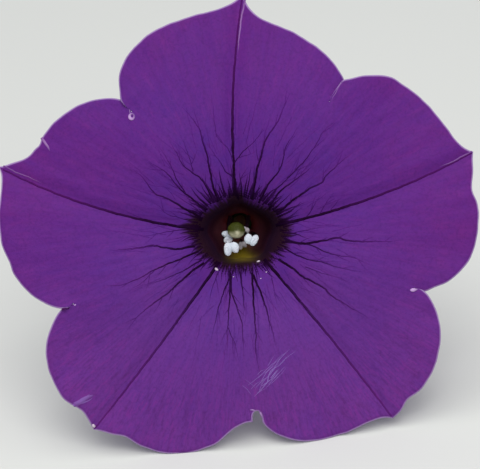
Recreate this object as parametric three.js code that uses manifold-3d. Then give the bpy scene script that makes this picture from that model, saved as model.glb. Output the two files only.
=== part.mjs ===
// One petunia bloom as picked, with its calyx and a short stalk, lying on a flat surface.
// It rests on three points: the edges of its two lower lobes and the cut end of the stalk.
//
// Lengths are millimetres and angles degrees. Every piece is modelled in the bloom's own frame:
// the origin is the middle of the throat in the plane of the spread petals, +Z comes out of the
// face, +Y is up and +X is right as one looks at the face. The bloom is then laid down whole, in
// a frame with +Z up and the surface at z = 0, its face towards -Y.
import * as THREE from "three";
import { mergeVertices } from "three/addons/utils/BufferGeometryUtils.js";
import Module from "manifold-3d";

const wasm = await Module();
wasm.setup();

// ---------------------------------------------------------------- driving dimensions

const PETAL_THICKNESS = 0.6;
const GAP = 0.3; // what pieces that grow on one another keep between them

// The tube of the flower, from its foot to where it opens into the spread petals.
const TUBE_LENGTH = 33;
const FOOT_RADIUS = 2.0;
const MOUTH_RADIUS = 4.7;
const MOUTH_DEPTH = 7;
const MOUTH_OVAL = 0.07; // share by which the mouth is wider than it is high
const MOUTH_STAR = 0.06; // share by which the mouth reaches out along each midrib
const FLARE = 2.0; // how fast the mouth opens out: smaller is tighter

// The five petals are fused. Each ends in a tip on its midrib, at an angle and a reach from the
// centre, and its midrib swings by a few degrees on its way in. It has a shoulder on either
// side, first clockwise and then anticlockwise of the tip. A shoulder reaches so far, and turns
// in to its notch the more squarely the higher "square" is and the more hollowly the higher
// "hollow" is.
const shoulder = (reach, square, hollow = 0.75) => ({ reach, square, hollow });
const LOBES = [
  { tip: 19.0, reach: 36.3, swing: -10, sides: [shoulder(35.1, 3.7), shoulder(33.9, 2.8)] },
  { tip: 89.3, reach: 34.9, swing: 8.5, sides: [shoulder(31.1, 1.8), shoulder(32.3, 4.4)] },
  { tip: 165.0, reach: 36.4, swing: 13, sides: [shoulder(32.5, 2.7), shoulder(35.3, 3.2)] },
  { tip: 233.5, reach: 36.2, swing: 2.5, sides: [shoulder(35.8, 3.2), shoulder(34.5, 5, 3)] },
  { tip: 309.4, reach: 35.4, swing: 2.5, sides: [shoulder(33.4, 3.2), shoulder(35.4, 2.8)] },
];
// The notch on the anticlockwise side of each lobe: its mouth on the outline, its inner end, and
// half its width.
const NOTCHES = [
  { angle: 55.6, mouth: 26.6, end: 22.9, half: 0.2 },
  { angle: 132.3, mouth: 25.7, end: 23.5, half: 0.22 },
  { angle: 203.4, mouth: 27.8, end: 26.4, half: 0.22 },
  { angle: 275.1, mouth: 27.9, end: 26.5, half: 0.75 },
  { angle: 341.8, mouth: 27.9, end: 26.7, half: 0.22 },
];
const TIP_WIDTH = 0.085; // how far a tip's point runs along the outline, as a share of half a lobe

// Relief of the spread petals.
const LIMB_RADIUS = 35;
const RECURVE = 2.2; // how far back the rim bends
const RIB_VALLEY = 0.6;
const RIB_VALLEY_WIDTH = 1.2;
const PILLOW = 1.3; // how far the petals swell up between two midribs
const WAVE = 0.5; // height of the waves along the rim
const STEP = 0.3; // at a notch one petal edge lies this much over the other

// The calyx: a cup with five green sepals, behind the notches.
const CUP_HEIGHT = 3;
const CUP_WALL = 0.7;
const SEPAL_LENGTH = 14;
const SEPAL_SPREAD = 4.6;
const SEPAL_HALF_WIDTH = 1.7;
const SEPAL_THICKNESS = 0.7;

// The stalk, and the little disc on its end that carries the flower.
const STALK_LENGTH = 36;
const STALK_RADIUS = 0.8;
const TUBE_SWAY = 1.5; // how far the tube's foot lies above the axis of the face
const STALK_ARCH = 0.0051; // how strongly the stalk bows

// The pistil, and the five stamens. Each has its root's angle on the tube, the middle of its
// anther, how far the anther is turned, and its size: the two small ones are still closed.
const OVARY = { radius: 1.35, height: 4.4 };
const STIGMA = { at: [-0.55, 0.25, -3.8], radius: 1.3, height: 1.5 };
const THREAD_RADIUS = 0.3;
const STAMEN_ROOT = 22; // how deep in the tube the stamens leave its wall
const STAMENS = [
  { root: 55.6, anther: [0.85, 0.3, -6.7], turn: -10, size: 0.5 },
  { root: 132.3, anther: [-1.85, -0.7, -5.4], turn: -80, size: 0.75 },
  { root: 203.4, anther: [-1.28, -2.4, -2.6], turn: 15, size: 1 },
  { root: 275.1, anther: [0.35, -1.95, -6.8], turn: 20, size: 0.6 },
  { root: 341.8, anther: [1.62, -1.05, -2.9], turn: 197, size: 1 },
];
const ANTHER = { radius: 0.64, halfLength: 0.92, apart: 0.47, splay: 18 };

// How the bloom lies: turned in its own face, leant back, and set so that the surface is at
// z = 0, and presses its three resting points flat to a depth of about 0.12.
const TURN = -5.82;
const LEAN = 23.98;
const SEAT = [-0.28, -25.55, 29.52];

// Fineness of the meshes.
const OUTLINE_STEPS = [0, 0.07, 0.17, 0.32, 0.48, 0.64, 0.78, 0.89, 0.96];
const NOTCH_STEPS = 2;
const LIMB_ROWS = 13;
const TUBE_ROWS = 8;
const ROUND = 20;

// ---------------------------------------------------------------- small helpers

const radians = THREE.MathUtils.degToRad;
const smooth = (a, b, x) => THREE.MathUtils.smoothstep(x, a, b);
const mix = THREE.MathUtils.lerp;

// A closed geometry, indexed on position alone, as a solid that can be joined and cut.
function solidOf(geometry) {
  const bare = geometry.clone();
  bare.deleteAttribute("normal");
  bare.deleteAttribute("uv");
  const merged = mergeVertices(bare, 1e-4);
  return new wasm.Manifold(
    new wasm.Mesh({
      numProp: 3,
      vertProperties: new Float32Array(merged.attributes.position.array),
      triVerts: new Uint32Array(merged.index.array),
    }),
  );
}

function geometryOf(solid) {
  const mesh = solid.getMesh();
  const geometry = new THREE.BufferGeometry();
  geometry.setAttribute("position", new THREE.BufferAttribute(mesh.vertProperties, 3));
  geometry.setIndex(new THREE.BufferAttribute(mesh.triVerts, 1));
  return geometry;
}

const joined = (geometries) => geometryOf(geometries.map(solidOf).reduce((a, b) => a.add(b)));

// The line that the tube and the stalk follow behind the face: a little up, then over and down.
function sway(z) {
  const along = TUBE_LENGTH - MOUTH_DEPTH;
  const slope = (2 * TUBE_SWAY) / along;
  if (z > -MOUTH_DEPTH) return 0;
  if (z > -TUBE_LENGTH) return TUBE_SWAY * ((-z - MOUTH_DEPTH) / along) ** 2;
  const behind = -TUBE_LENGTH - z;
  return TUBE_SWAY + slope * behind - STALK_ARCH * behind ** 2;
}

function swayed(geometry) {
  const position = geometry.attributes.position;
  for (let i = 0; i < position.count; i++) {
    position.setY(i, position.getY(i) + sway(position.getZ(i)));
  }
  return geometry;
}

// A solid turned about the Z axis from points [radius, z] that run up its outside.
function turned(points, segments = ROUND) {
  const profile = points.map(([radius, z]) => new THREE.Vector2(radius, z));
  return new THREE.LatheGeometry(profile, segments).rotateX(Math.PI / 2);
}

// ---------------------------------------------------------------- the corolla

// The notches beside a lobe, first clockwise and then anticlockwise of its tip.
const notchesOf = (i) => [NOTCHES[(i + LOBES.length - 1) % LOBES.length], NOTCHES[i]];

// The angle from a to b, between -180 and 180.
const turnFrom = (a, b) => THREE.MathUtils.euclideanModulo(b - a + 180, 360) - 180;

// The angle of a lobe's midrib at a distance from the centre. It stays the same down the tube.
const ribAngle = ({ tip, reach, swing }, radius) =>
  tip + swing * (1 - Math.max(radius, MOUTH_RADIUS) / reach);

// Where an angle lies in the flower at a distance from the centre: its lobe, which side of the
// midrib it is on (0 clockwise, 1 anticlockwise), its angle from the midrib, and its share of
// the way from there to the notch.
function fieldOf(angle, radius) {
  for (const [i, lobe] of LOBES.entries()) {
    const rib = ribAngle(lobe, radius);
    const offset = turnFrom(rib, angle);
    const side = offset < 0 ? 0 : 1;
    const notch = notchesOf(i)[side];
    const share = offset / turnFrom(rib, notch.angle);
    if (share <= 1 + 1e-9) return { i, side, notch, offset, share };
  }
  throw new Error("no lobe holds " + angle);
}

// Distance from the centre to the outline, at a share of the way from a midrib to the notch.
function outline(lobe, side, notch, share) {
  const { reach, square, hollow } = lobe.sides[side];
  const rounding = (1 - share ** square) ** hollow;
  const point = (lobe.reach - reach) * Math.exp(-share / TIP_WIDTH);
  return notch.mouth + (reach - notch.mouth) * rounding + point;
}

// The tube's radius at a height z below the face, and the mouth's, at an angle.
function tubeRadius(angle, z) {
  const open = smooth(-TUBE_LENGTH, -MOUTH_DEPTH + 3, z);
  const round = mix(FOOT_RADIUS, MOUTH_RADIUS, open);
  const { share } = fieldOf(angle, 0);
  const star = MOUTH_STAR * Math.cos(Math.PI * share);
  const oval = MOUTH_OVAL * Math.cos(2 * radians(angle));
  return round * (1 + (star + oval) * open);
}

// Height of the spread petals at a distance and angle from the centre.
function petalHeight(angle, radius) {
  const { i, side, notch, offset, share } = fieldOf(angle, radius);
  const out = Math.max(0, radius - tubeRadius(angle, -MOUTH_DEPTH));
  const flare = -MOUTH_DEPTH * (FLARE / (out + FLARE)) ** 2;
  const recurve = -RECURVE * (radius / LIMB_RADIUS) ** 2 * smooth(2, 20, out);
  const fromRib = (radius * Math.sin(radians(offset))) / RIB_VALLEY_WIDTH;
  const valley = -RIB_VALLEY * Math.exp(-(fromRib ** 2)) * smooth(0.5, 5, out);
  const between = (1 - Math.cos(Math.PI * share)) / 2;
  const pillow = PILLOW * between * smooth(1, 12, out) * (1 - 0.6 * smooth(20, 30, radius));
  const wave = WAVE * Math.sin(Math.PI * (2 * share + 0.7 * i + 0.4 * side)) * smooth(20, 36, radius);
  const fromNotch = (radius * radians((1 - share) * 36)) / 3;
  const over = (side ? 1 : -1) * STEP * smooth(0, 3, radius - notch.end);
  const step = over * Math.exp(-(fromNotch ** 2));
  return flare + recurve + valley + pillow + wave * 4 * share * (1 - share) + step;
}

const onPetals = (angle, radius) =>
  new THREE.Vector3(
    radius * Math.cos(radians(angle)),
    radius * Math.sin(radians(angle)),
    petalHeight(angle, radius),
  );

const onTube = (angle, z) => {
  const radius = tubeRadius(angle, z);
  return new THREE.Vector3(
    radius * Math.cos(radians(angle)),
    radius * Math.sin(radians(angle)) + sway(z),
    z,
  );
};

// The unit normal of a surface given by a function of angle and one more number.
function normalOf(surface, angle, value) {
  const step = 1e-3;
  const round = surface(angle + step, value).sub(surface(angle - step, value));
  const along = surface(angle, value + step).sub(surface(angle, value - step));
  return along.cross(round).normalize();
}

// One half of a lobe as columns of the mesh, from the midrib to the notch's end. Each column
// has the reach of its point on the outline and its share of the way to the notch there, and
// the share that it keeps in the tube, where the columns are evenly spread.
function halfLobe(i, side) {
  const notch = notchesOf(i)[side];
  const span = Math.abs(turnFrom(LOBES[i].tip, notch.angle));
  const slit = (reach) => 1 - THREE.MathUtils.radToDeg(notch.half / reach) / span;
  const points = OUTLINE_STEPS.map((share) => ({
    share: slit(notch.mouth) * share,
    reach: outline(LOBES[i], side, notch, share),
  }));
  for (let step = 0; step < NOTCH_STEPS; step++) {
    const reach = mix(notch.mouth, notch.end, step / NOTCH_STEPS);
    points.push({ share: slit(reach), reach });
  }
  points.push({ share: 1, reach: notch.end });
  const last = points.length - 1;
  return points.map((point, n) => ({ ...point, i, side, even: n / last }));
}

// The angle of a column at a share of the way to its notch and a distance from the centre.
function angleOf({ i, side }, share, radius) {
  const rib = ribAngle(LOBES[i], radius);
  return rib + share * turnFrom(rib, notchesOf(i)[side].angle);
}

// All columns, anticlockwise. Both halves of a lobe hold its midrib, and the halves on either
// side of a notch its end, so each half leaves out one of the two.
function outlineColumns() {
  return LOBES.flatMap((_, i) => [
    ...halfLobe(i, 0).slice(1, -1).reverse(),
    ...halfLobe(i, 1),
  ]);
}

function corolla() {
  const columns = outlineColumns();
  const faceRows = [];
  const backRows = [];
  const addRow = (surface, argumentsOf) => {
    const points = columns.map(argumentsOf);
    const middle = points.map(([angle, value]) => surface(angle, value));
    const lift = points.map(([angle, value]) =>
      normalOf(surface, angle, value).multiplyScalar(PETAL_THICKNESS / 2),
    );
    faceRows.push(middle.map((p, n) => p.clone().add(lift[n])));
    backRows.push(middle.map((p, n) => p.clone().sub(lift[n])));
  };
  for (let row = 0; row < TUBE_ROWS; row++) {
    const z = mix(-TUBE_LENGTH, -MOUTH_DEPTH, row / TUBE_ROWS);
    addRow(onTube, (column) => [angleOf(column, column.even, 0), z]);
  }
  for (let row = 0; row <= LIMB_ROWS; row++) {
    const along = (row / LIMB_ROWS) ** 1.6;
    addRow(onPetals, (column) => {
      const mouth = tubeRadius(angleOf(column, column.even, 0), -MOUTH_DEPTH);
      const radius = mix(mouth, column.reach, along);
      const share = mix(column.even, column.share, smooth(0.2, 0.85, along));
      return [angleOf(column, share, radius), radius];
    });
  }
  return closedShell(faceRows, backRows);
}

// A wall between two sheets of points, each a list of closed rows, joined at both ends.
function closedShell(face, back) {
  const rows = face.length;
  const count = face[0].length;
  const vertices = [...face.flat(), ...back.flat()].flatMap((p) => [p.x, p.y, p.z]);
  const faceAt = (row, n) => row * count + (n % count);
  const backAt = (row, n) => rows * count + faceAt(row, n);
  const index = [];
  const quad = (a, b, c, d) => index.push(a, b, c, a, c, d);
  for (let n = 0; n < count; n++) {
    for (let row = 0; row < rows - 1; row++) {
      quad(faceAt(row, n), faceAt(row + 1, n), faceAt(row + 1, n + 1), faceAt(row, n + 1));
      quad(backAt(row, n), backAt(row, n + 1), backAt(row + 1, n + 1), backAt(row + 1, n));
    }
    quad(faceAt(0, n), faceAt(0, n + 1), backAt(0, n + 1), backAt(0, n));
    const rim = rows - 1;
    quad(faceAt(rim, n), backAt(rim, n), backAt(rim, n + 1), faceAt(rim, n + 1));
  }
  const geometry = new THREE.BufferGeometry();
  geometry.setAttribute("position", new THREE.Float32BufferAttribute(vertices, 3));
  geometry.setIndex(index);
  return geometry;
}

// ---------------------------------------------------------------- calyx and stalk

// The cup's inside stands clear of the tube up to the cup's rim, also along its flat facets.
const cupRadius = () =>
  (tubeRadius(0, -TUBE_LENGTH + CUP_HEIGHT) + PETAL_THICKNESS / 2 + GAP) / Math.cos(Math.PI / ROUND);

// A sepal is a narrow blade that is widest two thirds of the way out and curls away at its tip.
function sepal(angle) {
  const rows = 9;
  const across = [-1, -0.5, 0, 0.5, 1];
  const face = [];
  const back = [];
  for (let row = 0; row <= rows; row++) {
    const along = row / rows;
    const half = SEPAL_HALF_WIDTH * (0.62 + 0.38 * Math.sin(Math.PI * along ** 1.3));
    const width = half * Math.sqrt(1 - (along * 0.985) ** 8);
    const z = -TUBE_LENGTH + 1 + (SEPAL_LENGTH + 1) * along;
    const out = cupRadius() + SEPAL_THICKNESS / 2 + SEPAL_SPREAD * along ** 1.7;
    const slope = (SEPAL_SPREAD * 1.7 * along ** 0.7) / (SEPAL_LENGTH + 1);
    const normal = new THREE.Vector3(-1, 0, slope).normalize();
    const points = across.map((s) => {
      const cupped = 0.25 * width * s * s;
      return new THREE.Vector3(out - cupped, s * width, z);
    });
    const lift = normal.multiplyScalar(SEPAL_THICKNESS / 2);
    face.push(points.map((p) => p.clone().add(lift)));
    back.push(points.map((p) => p.clone().sub(lift)));
  }
  return bladeOf(face, back).rotateZ(radians(angle));
}

// A blade between two sheets of points, closed along its sides and at both ends.
function bladeOf(face, back) {
  const rows = face.length;
  const across = face[0].length;
  const loops = face.map((line, row) => [...line, ...[...back[row]].reverse()]);
  const around = 2 * across;
  const index = [];
  const at = (row, n) => row * around + (n % around);
  for (let row = 0; row < rows - 1; row++) {
    for (let n = 0; n < around; n++) {
      index.push(at(row, n), at(row + 1, n + 1), at(row, n + 1));
      index.push(at(row, n), at(row + 1, n), at(row + 1, n + 1));
    }
  }
  for (let n = 0; n < across - 1; n++) {
    const last = around - 1;
    index.push(at(0, n), at(0, n + 1), at(0, last - n));
    index.push(at(0, n + 1), at(0, last - n - 1), at(0, last - n));
    index.push(at(rows - 1, n), at(rows - 1, last - n), at(rows - 1, n + 1));
    index.push(at(rows - 1, n + 1), at(rows - 1, last - n), at(rows - 1, last - n - 1));
  }
  const vertices = loops.flat().flatMap((p) => [p.x, p.y, p.z]);
  const geometry = new THREE.BufferGeometry();
  geometry.setAttribute("position", new THREE.Float32BufferAttribute(vertices, 3));
  geometry.setIndex(index);
  return geometry;
}

function calyx() {
  const inner = cupRadius();
  const outer = inner + CUP_WALL;
  const rim = -TUBE_LENGTH + CUP_HEIGHT;
  const floor = -TUBE_LENGTH - 0.7;
  const cup = turned([
    [1.75, floor - 2.1],
    [2.4, floor - 2.2],
    [outer - 0.2, floor - 0.5],
    [outer, rim - 1],
    [outer - 0.15, rim],
    [inner, rim],
    [inner, floor],
    [1.75, floor - 2.1],
  ]);
  const sepals = NOTCHES.map(({ angle }) => sepal(angle));
  return swayed(joined([cup, ...sepals]));
}

function stalk() {
  const seat = -TUBE_LENGTH - GAP;
  const end = -TUBE_LENGTH - STALK_LENGTH;
  const points = [
    [0, end],
    [STALK_RADIUS, end],
  ];
  const rings = 10;
  for (let ring = 1; ring <= rings; ring++) {
    points.push([STALK_RADIUS, mix(end, seat - 4.5, ring / rings)]);
  }
  points.push([1.25, seat - 2.4], [2.1, seat - 0.6], [2.1, seat], [0, seat]);
  return swayed(turned(points, 12));
}

// ---------------------------------------------------------------- pistil and stamens

// A round thread along a smooth curve through some points.
function thread(points, radius, steps) {
  const section = new THREE.Shape();
  for (let n = 0; n < 6; n++) {
    const angle = (n * Math.PI) / 3;
    section[n ? "lineTo" : "moveTo"](radius * Math.cos(angle), radius * Math.sin(angle));
  }
  const extrudePath = new THREE.CatmullRomCurve3(points.map((p) => new THREE.Vector3(...p)));
  return new THREE.ExtrudeGeometry(section, { steps, extrudePath, bevelEnabled: false });
}

const egg = (radius, halfHeight, at, around = 10, high = 8) =>
  new THREE.SphereGeometry(1, around, high)
    .rotateX(Math.PI / 2)
    .scale(radius, radius, halfHeight)
    .translate(...at);

function pistil() {
  const foot = -TUBE_LENGTH;
  const ovary = egg(OVARY.radius, OVARY.height / 2, [0, sway(foot), foot + OVARY.height / 2], 12);
  const [x, y, z] = STIGMA.at;
  const style = thread(
    [
      [0, sway(foot), foot + OVARY.height / 2],
      [0, sway(-24), -24],
      [x * 0.4, mix(sway(-14), y, 0.4), -14],
      [x, y, z],
    ],
    THREAD_RADIUS,
    10,
  );
  const stigma = egg(STIGMA.radius, STIGMA.height / 2, STIGMA.at, 12);
  return joined([ovary, style, stigma]);
}

// A stamen leaves the wall of the tube behind its notch and ends in an anther of two pollen sacs.
function stamen({ root, anther, turn, size }) {
  const wall = (z) => tubeRadius(root, z) - PETAL_THICKNESS / 2 - GAP - THREAD_RADIUS;
  const atWall = (z) => [
    wall(z) * Math.cos(radians(root)),
    wall(z) * Math.sin(radians(root)) + sway(z),
    z,
  ];
  const [x, y, z] = anther;
  const filament = thread(
    [atWall(-STAMEN_ROOT), atWall(-STAMEN_ROOT + 4), [x, y, z - 3.5], [x, y, z]],
    THREAD_RADIUS,
    9,
  );
  const across = [Math.cos(radians(turn)), Math.sin(radians(turn))];
  const sacs = [-1, 1].map((side) =>
    new THREE.SphereGeometry(size, 8, 6)
      .scale(ANTHER.radius, ANTHER.halfLength, ANTHER.radius)
      .rotateZ(radians(turn + side * ANTHER.splay))
      .translate(
        x + side * size * ANTHER.apart * across[0],
        y + side * size * ANTHER.apart * across[1],
        z,
      ),
  );
  return joined([filament, ...sacs]);
}

// ---------------------------------------------------------------- laying it down

const bloom = new THREE.Group();
bloom.rotation.set(radians(90 - LEAN), 0, radians(TURN));
bloom.position.set(...SEAT);
bloom.updateMatrixWorld(true);

// What lies on the surface is pressed flat on it: everything below z = 0 is cut away.
function pressedFlat(geometry) {
  const under = new THREE.BoxGeometry(200, 200, 10)
    .translate(0, 0, -5)
    .applyMatrix4(bloom.matrixWorld.clone().invert());
  return geometryOf(solidOf(geometry).subtract(solidOf(under)));
}

const finish = (color, roughness) =>
  new THREE.MeshStandardMaterial({ color, roughness, metalness: 0 });
const petalFinish = finish(0x57227f, 0.7);
const sepalFinish = finish(0x5f8a3a, 0.75);
const stalkFinish = finish(0x6f9448, 0.75);
const pistilFinish = finish(0x5d7a33, 0.5);
const stamenFinish = finish(0xcfd6dc, 0.8);

function add(name, geometry, material) {
  const mesh = new THREE.Mesh(geometry, material);
  mesh.name = name;
  bloom.add(mesh);
}

add("corolla", pressedFlat(corolla()), petalFinish);
add("calyx", calyx(), sepalFinish);
add("stalk", pressedFlat(stalk()), stalkFinish);
add("pistil", pistil(), pistilFinish);
STAMENS.forEach((one, n) => add(`stamen_${n + 1}`, stamen(one), stamenFinish));

const part = new THREE.Group();
part.add(bloom);

export default part;
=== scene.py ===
# %% [markdown]
# # A petunia bloom, as picked
#
# One garden petunia lies on a pale surface: a trumpet of five fused petals, five stamens and a
# pistil in its throat, a green calyx and a short stalk. Dozens of dark veins run out of the
# throat over velvety violet petals.
#
# The bloom's construction comes as a fixed frame of plain solids. This lesson dresses it. Each
# plain solid is replaced by a finer piece of the same form, and each piece gets a finish that is
# worked out by nodes.

# %% Load the frame
import math

import bmesh
import bpy
import numpy as np
from mathutils import Matrix, Vector, kdtree


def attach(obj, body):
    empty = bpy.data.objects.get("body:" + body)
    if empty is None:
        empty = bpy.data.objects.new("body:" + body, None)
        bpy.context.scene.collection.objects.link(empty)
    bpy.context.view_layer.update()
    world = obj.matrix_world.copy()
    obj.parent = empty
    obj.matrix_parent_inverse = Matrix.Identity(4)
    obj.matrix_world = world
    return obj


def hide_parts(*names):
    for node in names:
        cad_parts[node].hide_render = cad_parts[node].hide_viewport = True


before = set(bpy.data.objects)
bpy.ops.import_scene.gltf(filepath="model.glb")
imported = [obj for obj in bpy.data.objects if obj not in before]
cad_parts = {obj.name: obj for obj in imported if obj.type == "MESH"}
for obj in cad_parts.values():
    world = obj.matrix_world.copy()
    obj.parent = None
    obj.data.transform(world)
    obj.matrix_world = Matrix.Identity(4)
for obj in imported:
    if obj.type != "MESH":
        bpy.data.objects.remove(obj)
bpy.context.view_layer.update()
print("nodes in the frame:", ", ".join(sorted(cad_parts)))

# %% [markdown]
# ## The bloom's own frame
#
# A flower is easiest to describe from its own middle. Its origin is the centre of the throat in
# the plane of the petals, +Z comes out of the face, +Y is up and +X is right. Lengths are in
# millimetres there. The bloom is then laid down whole: turned a little in its own face, leant
# back, and set on the surface. All pieces go through the one function that does this, so they
# fit each other and the frame with nothing to adjust.

# %% From the bloom's frame to the floor
MM = 0.001
LEAN = 23.98  # how far the face leans back, in degrees
TURN = -5.82  # how far the bloom is turned in its own face
SEAT = np.array([-0.28, -25.55, 29.52])  # where the throat's middle comes to lie
FLOOR_GAP = 0.02  # nothing lies closer to the floor

bloom_turn = Matrix.Rotation(math.radians(90 - LEAN), 3, "X") @ Matrix.Rotation(
    math.radians(TURN), 3, "Z"
)
BLOOM = np.array(bloom_turn)


def laid(points):
    """Points of the bloom's own frame, in mm, as points of the scene, in metres."""
    placed = np.asarray(points, float) @ BLOOM.T + SEAT
    placed[..., 2] = np.maximum(placed[..., 2], FLOOR_GAP)
    return placed * MM


def laid_direction(vectors):
    """Directions of the bloom's own frame as directions of the scene."""
    return np.asarray(vectors, float) @ BLOOM.T


# %% [markdown]
# ## Small helpers for curves
#
# The petals' form is written as sums of soft steps and bells. A soft step goes from 0 to 1
# between two values, a bell is 1 at its middle and fades to both sides. Both work on whole
# arrays, so a surface of a hundred thousand points takes a moment. Veins, threads and style
# follow smooth curves through a few stops each.

# %% Soft steps, bells and smooth curves
def soft_step(low, high, x):
    """0 below low and 1 above high; low may be the higher one to turn it round."""
    t = np.clip((np.asarray(x, float) - low) / (high - low), 0, 1)
    return t * t * (3 - 2 * t)


def bell(x, width):
    """1 where x is 0, and about a third where x is the width."""
    return np.exp(-((np.asarray(x, float) / width) ** 2))


def blend(a, b, t):
    return a + (b - a) * t


def unit(v):
    """Vectors of length 1."""
    return v / np.maximum(np.linalg.norm(v, axis=-1, keepdims=True), 1e-9)


def turn_from(a, b):
    """The angle from a to b, in degrees, between -180 and 180."""
    return (np.asarray(b, float) - a + 180) % 360 - 180


def flat_point(reach, angle):
    """Points of the face's plane at a distance and an angle, in degrees, from its middle."""
    a = np.radians(angle)
    return np.stack([reach * np.cos(a), reach * np.sin(a)], -1)


def turn_of_plane(angle):
    """The matrix that turns flat points by an angle in degrees."""
    sine, cosine = math.sin(math.radians(angle)), math.cos(math.radians(angle))
    return np.array([[cosine, -sine], [sine, cosine]])


def spokes(angle, along):
    """The direction from the middle and the place along it, which the finishes read."""
    a = np.radians(angle)
    return np.stack([np.cos(a), np.sin(a), along], -1)


def smooth_path(stops, step):
    """Points about every step on a smooth curve through stops (x, y, z), in mm. Any further
    columns of the stops are smoothed along with them."""
    stops = np.asarray(stops, float)
    padded = np.vstack([2 * stops[0] - stops[1], stops, 2 * stops[-1] - stops[-2]])
    points = []
    for a, b, c, d in zip(padded, padded[1:], padded[2:], padded[3:]):
        steps = max(2, int(np.linalg.norm((c - b)[:3]) / step))
        t = (np.arange(steps) / steps)[:, None]
        points.append(0.5 * (2 * b + (c - a) * t + (2 * a - 5 * b + 4 * c - d) * t**2
                             + (3 * b - a - 3 * c + d) * t**3))
    points.append(stops[-1:])
    return np.vstack(points)


# %% [markdown]
# ## The outline of the petals
#
# The five petals are fused into one sheet. Each lobe has a tip on its midrib and a shoulder on
# either side, and turns in to a notch where it meets its neighbour. A real outline could be
# traced with hundreds of points. A rule says the same with a few sizes for each lobe, read off
# the photograph, and stays smooth at any fineness.

# %% Lobes and notches
TUBE_LENGTH = 33.0
FOOT_RADIUS = 2.0
MOUTH_RADIUS = 4.7
MOUTH_DEPTH = 7.0  # where the tube ends and the flare to the face starts
# how far the mouth is from round, as shares of its radius
MOUTH_OVAL, MOUTH_STAR = 0.07, 0.06
FLARE = 2.0  # the smaller, the more sharply the petals turn out of the tube

# tip angle, reach, and how far the midrib swings on its way in, then how far each shoulder
# reaches, how squarely it turns in to its notch and how hollow that turn is, first clockwise
# and then anticlockwise of the tip
LOBES = [
    (19.0, 36.3, -10.0, (35.1, 3.7, 0.75), (33.9, 2.8, 0.75)),
    (89.3, 34.9, 8.5, (31.1, 1.8, 0.75), (32.3, 4.4, 0.75)),
    (165.0, 36.4, 13.0, (32.5, 2.7, 0.75), (35.3, 3.2, 0.75)),
    (233.5, 36.2, 2.5, (35.8, 3.2, 0.75), (34.5, 5.0, 3.0)),
    (309.4, 35.4, 2.5, (33.4, 3.2, 0.75), (35.4, 2.8, 0.75)),
]
# angle, reach of its mouth, reach of its inner end, half its width, and how far each of the two
# edges lies over or under the other
NOTCHES = [
    (55.6, 26.6, 22.9, 0.015, 0.30),
    (132.0, 25.6, 23.5, 0.015, 0.24),
    (203.4, 27.6, 26.4, 0.015, 0.25),
    (275.3, 27.8, 26.2, 0.65, 0.0),
    (342.1, 27.8, 26.7, 0.015, 0.22),
]
# small swells and nips of the rim: angle, how far the rim stands out or in, and how wide it is
NIPS = [
    (11.0, -0.7, 3.0), (46.0, 0.5, 3.6), (54.0, -0.4, 1.5), (130.3, -0.45, 1.6),
    (155.5, -0.3, 1.2), (163.0, 0.8, 2.4), (187.0, -0.35, 2.5), (228.6, -0.85, 3.6),
    (241.0, -0.4, 2.4), (265.0, 0.3, 2.5), (315.0, -0.6, 2.6), (344.3, -0.4, 1.5),
    (354.5, 0.35, 4.0),
]
# how sharp the point at each lobe's tip is, as a share of the way to the notch
TIP_WIDTH = 0.085


def notch_beside(lobe, side):
    """The notch clockwise (0) or anticlockwise (1) of a lobe."""
    return NOTCHES[lobe if side else lobe - 1]


def outline(lobe, side, share):
    """How far the petal reaches at a share of the way from a midrib to the notch beside it."""
    tip_reach = LOBES[lobe][1]
    reach, square, hollow = LOBES[lobe][3 + side]
    mouth = notch_beside(lobe, side)[1]
    rounding = (1 - share**square) ** hollow
    point = (tip_reach - reach) * np.exp(-share / TIP_WIDTH)
    return mouth + (reach - mouth) * rounding + point


def rib_angle(lobe, radius):
    """The angle of a lobe's midrib at a distance from the middle."""
    tip, reach, swing = LOBES[lobe][:3]
    return tip + swing * (1 - np.maximum(radius, MOUTH_RADIUS) / reach)


def field(angle, radius):
    """Lobe, side of its midrib, share of the way to the notch, and angle from the midrib."""
    angle, radius = np.broadcast_arrays(np.asarray(angle, float), np.asarray(radius, float))
    lobe = np.zeros(angle.shape, int)
    side = np.zeros(angle.shape, int)
    share = np.full(angle.shape, np.inf)
    offset = np.zeros(angle.shape)
    for i in range(len(LOBES)):
        rib = rib_angle(i, radius)
        off = turn_from(rib, angle)
        here = (off >= 0).astype(int)
        after, before = turn_from(rib, NOTCHES[i][0]), turn_from(rib, NOTCHES[i - 1][0])
        part = off / np.where(here == 1, after, before)
        mine = part < share
        lobe = np.where(mine, i, lobe)
        side = np.where(mine, here, side)
        offset = np.where(mine, off, offset)
        share = np.where(mine, part, share)
    return lobe, side, np.clip(share, 0, 1), offset


# %% [markdown]
# ## The trumpet
#
# Behind the face is a tube that widens from a narrow foot to the throat, and there flares out
# into the spread petals. Along each midrib the petal is folded to a shallow valley, between the
# midribs it swells, its rim bends back and is lightly waved. At a notch one petal's edge lies
# over the other. The same sums in the part's source give the solid its form.
#
# Finer waves come on top here: a flutter along the rim, and puckers between the veins.

# %% The form of the petals
LIMB_RADIUS = 35.0
HALF_LOBE = 36  # half the angle that a lobe takes up
RECURVE = 2.2  # how far the rim bends back
RIB_VALLEY, RIB_VALLEY_WIDTH = 0.6, 1.2
PILLOW = 1.3  # how far a petal swells between its midrib and its notches
WAVE = 0.5
STEP, STEP_LENGTH = 0.3, 1.8  # how far two edges part in height at a notch, and how soon
TUBE_SWAY = 1.5  # how far the tube's foot lies above the face's axis
STALK_ARCH = 0.0051
STALK_LENGTH = 36.0

NOTCH_MOUTH, NOTCH_END, _, NOTCH_LAP = np.array([notch[1:] for notch in NOTCHES]).T


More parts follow.
